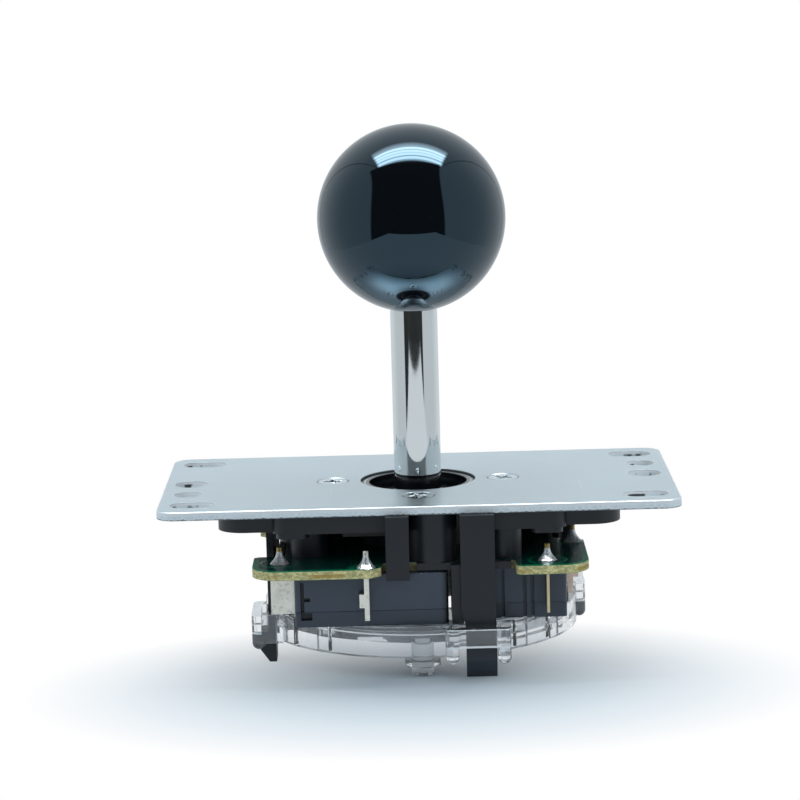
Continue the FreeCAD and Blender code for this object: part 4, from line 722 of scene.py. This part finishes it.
class JOYSTICK_OT_screws(PieceOperator, bpy.types.Operator):
    """Countersunk plate screws with a tapered cross recess and a thread"""
    bl_idname = "joystick.screws"
    bl_label = "Plate screws"

    def make(self, sizes, colours):
        """One grid of radius and height a screw. On top, the recess is as deep as its full depth, less
        outwards, where the smaller of |x| and |y| is under the wing's half width and the larger is under
        its length, with sloped walls. On the shank, the radius loses a groove that climbs with the angle."""
        low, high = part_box("plate_screws")
        length, head, shank, head_height, bend = high.z - low.z, 3.1 * MM, 1.5 * MM, 1.45 * MM, 0.12 * MM
        wall, taper, thread_depth, flat_rows, thread_rows = 0.16 * MM, 0.6, 0.26 * MM, 44, 90
        half, half_width = sizes.recess_length / 2, sizes.recess_width / 2
        segments = sizes.turned_segments
        angle = np.linspace(0.0, TURN, segments, endpoint=False)[None]
        flat = np.linspace(0.0, head - bend, flat_rows)
        side = rounded_line([(flat[-1], 0.0), (head, -0.10 * MM), (shank, -head_height),
                             (shank, -1.1 * head_height)], bend)
        turns = np.linspace(-1.15 * head_height, -length + 0.5 * MM, thread_rows)
        tip = np.array([(shank * 0.55, -length + 0.02 * MM), (0.0, -length)])
        radius = np.concatenate([flat, side[1:, 0], np.full(thread_rows, shank), tip[:, 0]])
        height = np.concatenate([0.0 * flat, side[1:, 1], turns, tip[:, 1]])
        radius = np.repeat(radius[:, None], segments, axis=1)
        height = np.repeat(height[:, None], segments, axis=1)
        near = np.minimum(abs(radius * np.cos(angle)), abs(radius * np.sin(angle)))
        far = np.maximum(abs(radius * np.cos(angle)), abs(radius * np.sin(angle)))
        depth = sizes.recess_depth * (1.0 - taper * far / half)
        depth = depth * np.clip((half_width + wall / 2 - near) / wall, 0, 1)
        depth = depth * np.clip((half - far) / wall, 0, 1)
        rows = np.arange(len(height))[:, None]
        height = height - np.where(rows < len(flat), depth, 0.0)
        start = len(flat) + len(side) - 1
        ridge = np.abs((height / sizes.thread_pitch + angle / TURN) % 1.0 - 0.5) * 2.0
        threaded = (rows >= start) & (rows < start + thread_rows)
        radius = radius - np.where(threaded, thread_depth * ridge, 0.0)
        points, quads = swung(radius, height + high.z, segments)
        x, y, z = points.T
        screws = []
        for turn, spin in enumerate((0.30, 1.10, 0.75, 0.10)):
            c, s = math.cos(spin), math.sin(spin)
            screw = np.stack([c * x - s * y, s * x + c * y - SCREW_CIRCLE, z], axis=-1)
            screws.append((quarter_turned(screw, turn), quads))
        add_piece("plate_screws", mesh_from("plate_screws", screws), bright_zinc(colours))


class JOYSTICK_OT_housing(PieceOperator, bpy.types.Operator):
    """Base housing with its clips, fingers and bosses, all edges rounded as moulded"""
    bl_idname = "joystick.housing"
    bl_label = "Base housing"

    def make(self, sizes, colours):
        soften_node("base_housing", sizes.moulding_edge, housing_black(colours), 3)


class JOYSTICK_OT_shaft(PieceOperator, bpy.types.Operator):
    """Chrome shaft with its shoulder, stem, clip groove and the threaded end inside the ball"""
    bl_idname = "joystick.shaft"
    bl_label = "Shaft"

    def make(self, sizes, colours):
        """The rod is its outline of radius and height turned round Z, with every corner rounded a little."""
        top, bottom = top_of("shaft"), bottom_of("shaft")
        clip_low, clip_high = bottom_of("retaining_clip"), top_of("retaining_clip")
        play, chamfer = 0.05 * MM, sizes.shaft_edge
        seat = bottom_of("ball_top") - play
        rod, stem, groove = sizes.shaft_radius, sizes.stem_radius, sizes.groove_radius
        shoulder, fillet, bend = sizes.shoulder_level, sizes.shoulder_fillet, np.linspace(0.0, math.pi / 2, 7)
        corners = [(0.0, top), (stem - chamfer, top), (stem, top - chamfer), (stem, seat), (rod, seat),
                   *zip(rod - fillet + fillet * np.cos(bend), shoulder + fillet - fillet * np.sin(bend)),
                   (stem, shoulder), (stem, clip_high + play), (groove, clip_high + play),
                   (groove, clip_low - play), (stem, clip_low - play), (stem, bottom + chamfer),
                   (stem - chamfer, bottom), (0.0, bottom)]
        turn_node("shaft", rounded_line(corners, 0.06 * MM), sizes.turned_segments, polished_chrome(colours))


class JOYSTICK_OT_ball(PieceOperator, bpy.types.Operator):
    """Ball top with its small flat and bore, and the brass insert"""
    bl_idname = "joystick.ball"
    bl_label = "Ball top"

    def make(self, sizes, colours):
        """The sphere's radius from the axis is R sin(a) and its height R cos(a) over the centre, from the
        pole down to the flat; the line then turns into the bore and ends on the axis."""
        radius, flat, play = radius_of("ball_top"), bottom_of("ball_top"), 0.05 * MM
        centre = top_of("ball_top") - radius
        bore, roof = radius_of("ball_insert") + play, top_of("ball_insert") + play
        polar = np.linspace(0.0, math.acos((flat - centre) / radius), sizes.ball_segments // 2)
        sphere = np.stack([radius * np.sin(polar), centre + radius * np.cos(polar)], axis=-1)
        under = rounded_line([sphere[-1], (bore, flat), (bore, roof), (0.0, roof)], 0.15 * MM)
        turn_node("ball_top", np.vstack([sphere, under[1:]]), sizes.ball_segments, polished_black(colours))
        soften_node("ball_insert", sizes.small_edge, plain_metal("insert_brass", colours.insert, 0.22))


class JOYSTICK_OT_pivot(PieceOperator, bpy.types.Operator):
    """Pivot ball with its collar, glossy from grease"""
    bl_idname = "joystick.pivot"
    bl_label = "Pivot"

    def make(self, sizes, colours):
        """The ball's outline is the sphere's arc between the collar and the cut underneath; it is joined to
        the collar's line outside and to the bore's line inside, and turned round Z."""
        centre, radius, collar = -7.0 * MM, radius_of("pivot_bush"), 4.3 * MM
        bore = sizes.stem_radius + 0.05 * MM
        top, bottom = top_of("pivot_bush"), bottom_of("pivot_bush")
        polar = np.linspace(math.asin(collar / radius), math.acos((bottom - centre) / radius), 60)
        arc = np.stack([radius * np.sin(polar), centre + radius * np.cos(polar)], axis=-1)
        collar_line = rounded_line([(bore, top - 0.4 * MM), (bore, top), (collar, top), arc[0]], 0.22 * MM)
        under = rounded_line([arc[-1], (bore, bottom), (bore, bottom + 0.5 * MM)], 0.15 * MM)
        line = np.vstack([collar_line, arc[1:], under[1:], collar_line[:1]])
        turn_node("pivot_bush", line, sizes.turned_segments, greased_black(colours))


class JOYSTICK_OT_spring(PieceOperator, bpy.types.Operator):
    """Centring spring with closed, ground ends, and the seat that it bears on"""
    bl_idname = "joystick.spring"
    bl_label = "Centring spring"

    def make(self, sizes, colours):
        """The wire's middle is x = R cos(a), y = R sin(a), with a height that climbs one wire thickness a
        turn at both closed ends and evenly between; the wire is then ground flat at the two end levels."""
        low, high = bottom_of("centering_spring"), top_of("centering_spring")
        wire, ground, turns, closed, rings = sizes.spring_wire, 0.14 * MM, 4.25, 0.75, 340
        turn = np.linspace(0.0, turns, rings)
        first, last = low + wire / 2 - ground, high - wire / 2 + ground
        climb = closed * wire
        rise = np.interp(turn, [0.0, closed, turns - closed, turns],
                         [first, first + climb, last - climb, last])
        radius, angle = sizes.spring_radius, turn * TURN
        path = np.stack([radius * np.cos(angle), radius * np.sin(angle), rise], axis=-1)
        outward = np.stack([np.cos(angle), np.sin(angle), 0 * angle], axis=-1)
        points, faces = tube(path, outward, wire / 2)
        points[:, 2] = np.clip(points[:, 2], low, high)
        mesh = mesh_from("centering_spring", [(points, faces)])
        steel = plain_metal("spring_steel", colours.steel, 0.24)
        piece = add_piece("centering_spring", mesh, steel, rides=False)
        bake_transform(piece)
        soften_node("spring_seat", sizes.small_edge, plain_metal("seat_steel", colours.steel, 0.30))


class JOYSTICK_OT_actuator(PieceOperator, bpy.types.Operator):
    """White actuator cup and the clip ring that holds it on the stem"""
    bl_idname = "joystick.actuator"
    bl_label = "Actuator"

    def make(self, sizes, colours):
        steel = plain_metal("clip_steel", shade(colours.steel, 0.7), 0.28)
        soften_node("actuator", sizes.small_edge, moulded("actuator_white", colours.white, 0.38, 0.008, 0.05))
        soften_node("retaining_clip", sizes.small_edge, steel)


class JOYSTICK_OT_board(PieceOperator, bpy.types.Operator):
    """Switch board with its lacquer, tracks and laminate edge"""
    bl_idname = "joystick.board"
    bl_label = "Switch board"

    def make(self, sizes, colours):
        soften_node("switch_board", sizes.board_edge, board_finish(colours))


class JOYSTICK_OT_connector(PieceOperator, bpy.types.Operator):
    """Cream plug housing behind the plate, with its five bent pins"""
    bl_idname = "joystick.connector"
    bl_label = "Connector"

    def make(self, sizes, colours):
        cream = moulded("connector_cream", colours.cream, 0.45, 0.01, 0.05)
        soften_node("connector_housing", sizes.sheet_edge, cream)
        soften_node("connector_pins", sizes.sheet_edge, plain_metal("pin_tin", colours.tin, 0.22), 1)


class JOYSTICK_OT_solder(PieceOperator, bpy.types.Operator):
    """Solder joints that climb the terminal pins in a hollow curve"""
    bl_idname = "joystick.solder"
    bl_label = "Solder joints"

    def make(self, _, colours):
        """The radius over the height share t is tip + (base - tip) (1 - t)^1.9, with a wave of a few percent
        round the axis; the line closes down the pin's own surface."""
        low, high = bottom_of("solder_joints"), top_of("solder_joints")
        base, tip, pin = 1.85 * MM, 0.56 * MM, 0.525 * MM
        segments, rows = 48, 28
        angle = np.linspace(0.0, TURN, segments, endpoint=False)[None]
        share = np.linspace(0.0, 1.0, rows)
        outer = tip + (base - tip) * (1.0 - share) ** 1.9
        radius = np.concatenate([[pin], outer, [pin, pin]])[:, None]
        height = np.concatenate([[low], low + share * (high - low), [high + 0.02 * MM, low]])
        joints = []
        for turn in range(4):
            for number, centre in enumerate(PIN_PLACES):
                phase = 1.7 * turn + 2.9 * number
                wave = 0.97 + 0.02 * np.sin(2 * angle + phase) + 0.01 * np.sin(5 * angle + 2 * phase)
                swell = np.where(radius > tip * 1.01, wave, 1.0)
                points, quads = swung(radius * swell, height, segments, centre)
                joints.append((quarter_turned(points, turn), quads))
        add_piece("solder_joints", mesh_from("solder_joints", joints), bright_solder(colours))


class JOYSTICK_OT_switches(PieceOperator, bpy.types.Operator):
    """Four microswitches: case, cover, plunger and the leaf that the plunger bends"""
    bl_idname = "joystick.switches"
    bl_label = "Microswitches"

    def make(self, sizes, colours):
        """A leaf is a flat bar whose length is cut in many equal steps."""
        plastic = switch_plastic(colours)
        red = moulded("plunger_red", colours.red, 0.35, 0.008, 0.06)
        leaf_metal = plain_metal("leaf_copper", colours.copper, 0.25)
        root_x, tip_x, leaf_y, leaf_z = -20.0 * MM, -1.0 * MM, -12.8 * MM, -16.25 * MM
        steps = np.linspace(0.0, 1.0, 48)
        across = np.array([(0, 0), (1, 0), (1, 1), (0, 1)], float)
        ends = np.full((4, 2), 0.5)
        ring = np.stack([ends, *([across] * len(steps)), ends])
        place = np.concatenate([[0.0], steps, [1.0]])[:, None]
        for turn, side in enumerate(SIDES):
            soften_node("switch_case_" + side, sizes.switch_edge, plastic)
            soften_node("switch_cover_" + side, sizes.switch_edge, plastic)
            soften_node("plunger_" + side, sizes.sheet_edge, red)
            leaf, along = "switch_blade_" + side, turn % 2
            low, high = (np.array(corner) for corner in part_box(leaf))
            points = np.empty((len(place), 4, 3))
            points[..., along] = low[along] + place * (high - low)[along]
            points[..., 1 - along] = low[1 - along] + ring[..., 0] * (high - low)[1 - along]
            points[..., 2] = low[2] + ring[..., 1] * (high - low)[2]
            mesh = mesh_from(leaf, [(points.reshape(-1, 3), grid_quads(len(place), 4))])
            piece = add_piece(leaf, mesh, leaf_metal, rides=False)
            root, tip = (tuple(quarter_turned((x, leaf_y, leaf_z), turn)) for x in (root_x, tip_x))
            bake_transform(piece)


class JOYSTICK_OT_terminals(PieceOperator, bpy.types.Operator):
    """Stamped terminals of the microswitches, with their pins through the board"""
    bl_idname = "joystick.terminals"
    bl_label = "Terminals"

    def make(self, sizes, colours):
        metal = terminal_metal(colours)
        for side in SIDES:
            for kind in ("common", "open"):
                soften_node("%s_terminal_%s" % (kind, side), sizes.sheet_edge, metal)


class JOYSTICK_OT_gate(PieceOperator, bpy.types.Operator):
    """Clear gate with its loops, and the turnable restrictor plate with the selector post"""
    bl_idname = "joystick.gate"
    bl_label = "Clear gate"

    def make(self, sizes, colours):
        top, reach = top_of("gate_frame"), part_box("gate_frame")[1].y - 1.8 * MM
        gate = clear_plastic("gate_clear", colours.clear, (top, top - 3.4 * MM), reach)
        soften_node("gate_frame", sizes.clear_edge, gate, 3)
        # Painted shade: the restrictor's clear plastic is made darker, for the dark seen through it.
        plate = clear_plastic("restrictor_clear", shade(colours.clear, 0.80))
        soften_node("restrictor_plate", sizes.clear_edge, plate, 3)


# Stage
def floor_material(stage):
    """Pale floor: it takes the shadow in a patch under the lever, and outside that it is white to the camera
    and through clear plastic. Mirrors see it as pale, and see past its front edge and the side walls."""
    recipe = Recipe("pale_floor")
    margin = 2 * MM
    clear, glossy = recipe.ray("Camera").most(recipe.ray("Transmission")), recipe.ray("Glossy")
    x, y = recipe.axis("X"), recipe.axis("Y")
    across, along = x / stage.shadow_length, (y + stage.shadow_forward) / stage.shadow_width
    away = (across * across + along * along).root()
    wall_foot = (abs(x) > stage.wall_distance - margin) * glossy
    fade = away.span(0.20, 1.60) * wall_foot.span(0.0, 1.0, 1.0, 0.3)
    shaded = recipe.shader("ShaderNodeBsdfDiffuse", {"Color": stage.floor_colour})
    paler = away.span(0.70, 1.60).blend(stage.light_tint, WHITE)
    lit = recipe.shader("ShaderNodeEmission", {"Color": clear.blend(stage.light_tint, paler),
                                               "Strength": clear.span(0.0, 1.0, stage.floor_level, 1.0)})
    pale = recipe.shader("ShaderNodeMixShader", {0: fade * clear.most(glossy), 1: shaded, 2: lit})
    past = (y < -stage.floor_front).most(abs(x) > stage.wall_distance + margin) * glossy
    gone = recipe.shader("ShaderNodeBsdfTransparent")
    surface = recipe.shader("ShaderNodeMixShader", {0: past, 1: pale, 2: gone})
    recipe.add("ShaderNodeOutputMaterial", {"Surface": surface})
    return recipe.owner


def tent_world(stage):
    """Light tent, by direction: even walls with seams, a softbox with strip lamps overhead, and a dark open
    front where the camera looks in. Mirrors see these; the camera and clear plastic see plain white."""
    recipe = Recipe("light_tent", "worlds", "Generated")
    front_half, front_taper, front_shift, lean_middle, lean_sides = 0.7125, 0.22, 0.0585, 0.22, 0.30
    roof_aside, roof_back, corner_back, seam_end = 1.427, 0.802, 0.65, -0.95
    x, y, z = (recipe.axis(name) for name in "XYZ")
    aside = abs(x)
    inside = front_half - z * z * front_taper - abs(x + front_shift)
    ahead = y * -1.0 - (lean_middle - x * x * lean_sides) * z
    opening = inside.span(-0.012, 0.012) * ahead.span(-0.02, 0.02)
    roof = aside * roof_aside - z - y * roof_back
    corner = aside - y * corner_back
    upright = abs(corner).span(0.008, 0.020, 1.0, 0.0) * (roof > 0.0)
    level = abs(roof).span(0.010, 0.026, 1.0, 0.0) * (corner > 0.0) * (ahead > seam_end)
    walls = y.span(0.0, 0.8, stage.wall_level, stage.back_level, smooth=True)
    walls = walls * upright.most(level).span(0.0, 1.0, 1.0, 0.45)
    tilt = y / z.most(0.05)
    box = aside.span(0.49, 0.53, 1.0, 0.0) * tilt.span(0.20, 0.42, 1.0, 0.0) * tilt.span(-0.20, -0.16)
    strips = reduce(Field.most, [abs(tilt - place).span(0.022, 0.046, 1.0, 0.0, smooth=True)
                                 for place in (-0.100, 0.005, 0.085, 0.175)])
    lamps = box * strips.span(0.0, 1.0, stage.softbox_level, stage.strip_level)
    mirror = walls.most(lamps) * (1.0 - opening) + opening * stage.opening_level
    clear = recipe.ray("Camera").most(recipe.ray("Transmission"))
    strength = recipe.mix(clear, recipe.mix(recipe.ray("Glossy"), stage.fill_level, mirror), 1.0)
    light = recipe.shader("ShaderNodeBackground", {"Color": clear.blend(stage.light_tint, WHITE),
                                                   "Strength": strength})
    recipe.add("ShaderNodeOutputWorld", {"Surface": light})
    return recipe.owner


class JOYSTICK_OT_stage(bpy.types.Operator):
    """Pale floor, light tent with overhead strip lamps, and the camera"""
    bl_idname = "joystick.stage"
    bl_label = "Stage"
    bl_options = {"REGISTER", "UNDO"}

    def execute(self, context):
        stage, scene = context.scene.joystick_stage, context.scene
        self.add_floor(stage, scene)
        scene.world = tent_world(stage)
        self.add_lamps(stage, scene)
        self.add_camera(stage, scene)
        scene.view_settings.view_transform = "Standard"
        return {"FINISHED"}

    def add_floor(self, stage, scene):
        """One wide square under the lever's lowest point."""
        reach, level = 12.0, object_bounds()[0].z
        corners = [(x * reach, y * reach, level) for x, y in ((-1, -1), (1, -1), (1, 1), (-1, 1))]
        mesh = bpy.data.meshes.new("floor_mesh")
        mesh.from_pydata(corners, [], [(0, 1, 2, 3)])
        mesh.materials.append(floor_material(stage))
        floor = bpy.data.objects.new("floor", mesh)
        scene.collection.objects.link(floor)
        floor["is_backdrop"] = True

    def add_lamps(self, stage, scene):
        """Three strip lamps behind the plate; mirrors see the tent's own strips in their place."""
        length, width = 0.40, 0.070
        for number, y in enumerate((0.07, 0.16, 0.25)):
            light = bpy.data.lights.new("strip_%d" % number, "AREA")
            light.shape = "RECTANGLE"
            light.size, light.size_y = length, width
            light.energy = stage.lamp_level * math.pi * length * width
            light.color = stage.light_tint
            lamp = bpy.data.objects.new("strip_%d" % number, light)
            lamp.location = (0.0, y, stage.strip_height)
            lamp.visible_camera = False
            lamp.visible_glossy = False
            scene.collection.objects.link(lamp)

    def add_camera(self, stage, scene):
        """The camera solved from the photo: its place, and its three angles in degrees."""
        place = (-1.6008 * MM, -570.5006 * MM, 109.3112 * MM)
        aside, height, roll = (math.radians(angle) for angle in (0.1379, 9.380, -1.5165))
        back = Vector((math.sin(aside) * math.cos(height), -math.cos(aside) * math.cos(height),
                       math.sin(height)))
        right = Vector((math.cos(aside), math.sin(aside), 0.0))
        up = back.cross(right)
        turn = Matrix((math.cos(roll) * right + math.sin(roll) * up,
                       -math.sin(roll) * right + math.cos(roll) * up, back))
        data = bpy.data.cameras.new("camera")
        data.sensor_width = 36.0
        data.lens = stage.lens
        data.clip_start, data.clip_end = 0.01, 50.0
        camera = bpy.data.objects.new("camera", data)
        scene.collection.objects.link(camera)
        camera.matrix_world = Matrix.Translation(place) @ turn.transposed().to_4x4()
        scene.camera = camera


OPERATORS = (JOYSTICK_OT_plate, JOYSTICK_OT_screws, JOYSTICK_OT_housing, JOYSTICK_OT_shaft,
             JOYSTICK_OT_ball, JOYSTICK_OT_pivot, JOYSTICK_OT_spring, JOYSTICK_OT_actuator,
             JOYSTICK_OT_board, JOYSTICK_OT_connector, JOYSTICK_OT_solder, JOYSTICK_OT_switches,
             JOYSTICK_OT_terminals, JOYSTICK_OT_gate, JOYSTICK_OT_stage)
GROUPS = {"joystick_sizes": JoystickSizes, "joystick_colours": JoystickColours,
          "joystick_stage": JoystickStage}


class JOYSTICK_PT_panel(bpy.types.Panel):
    """Lists the pieces, their sizes and colours"""
    bl_idname = "JOYSTICK_PT_panel"
    bl_label = "Joystick lever"
    bl_space_type = "VIEW_3D"
    bl_region_type = "UI"
    bl_category = "Joystick"

    def draw(self, context):
        column = self.layout.column(align=True)
        for operator in OPERATORS:
            column.operator(operator.bl_idname)
        for group_name, group in GROUPS.items():
            box = self.layout.box()
            for name in group.__annotations__:
                box.prop(getattr(context.scene, group_name), name)


CLASSES = (*GROUPS.values(), *OPERATORS, JOYSTICK_PT_panel)


def register():
    for item in CLASSES:
        bpy.utils.register_class(item)
    for name, group in GROUPS.items():
        setattr(bpy.types.Scene, name, PointerProperty(type=group))


def unregister():
    for name in GROUPS:
        delattr(bpy.types.Scene, name)
    for item in reversed(CLASSES):
        bpy.utils.unregister_class(item)


def main():
    """Dress the lever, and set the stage."""
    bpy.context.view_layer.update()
    register()
    for operator in OPERATORS:
        family, name = operator.bl_idname.split(".")
        getattr(getattr(bpy.ops, family), name)()


if __name__ == "__main__":
    main()
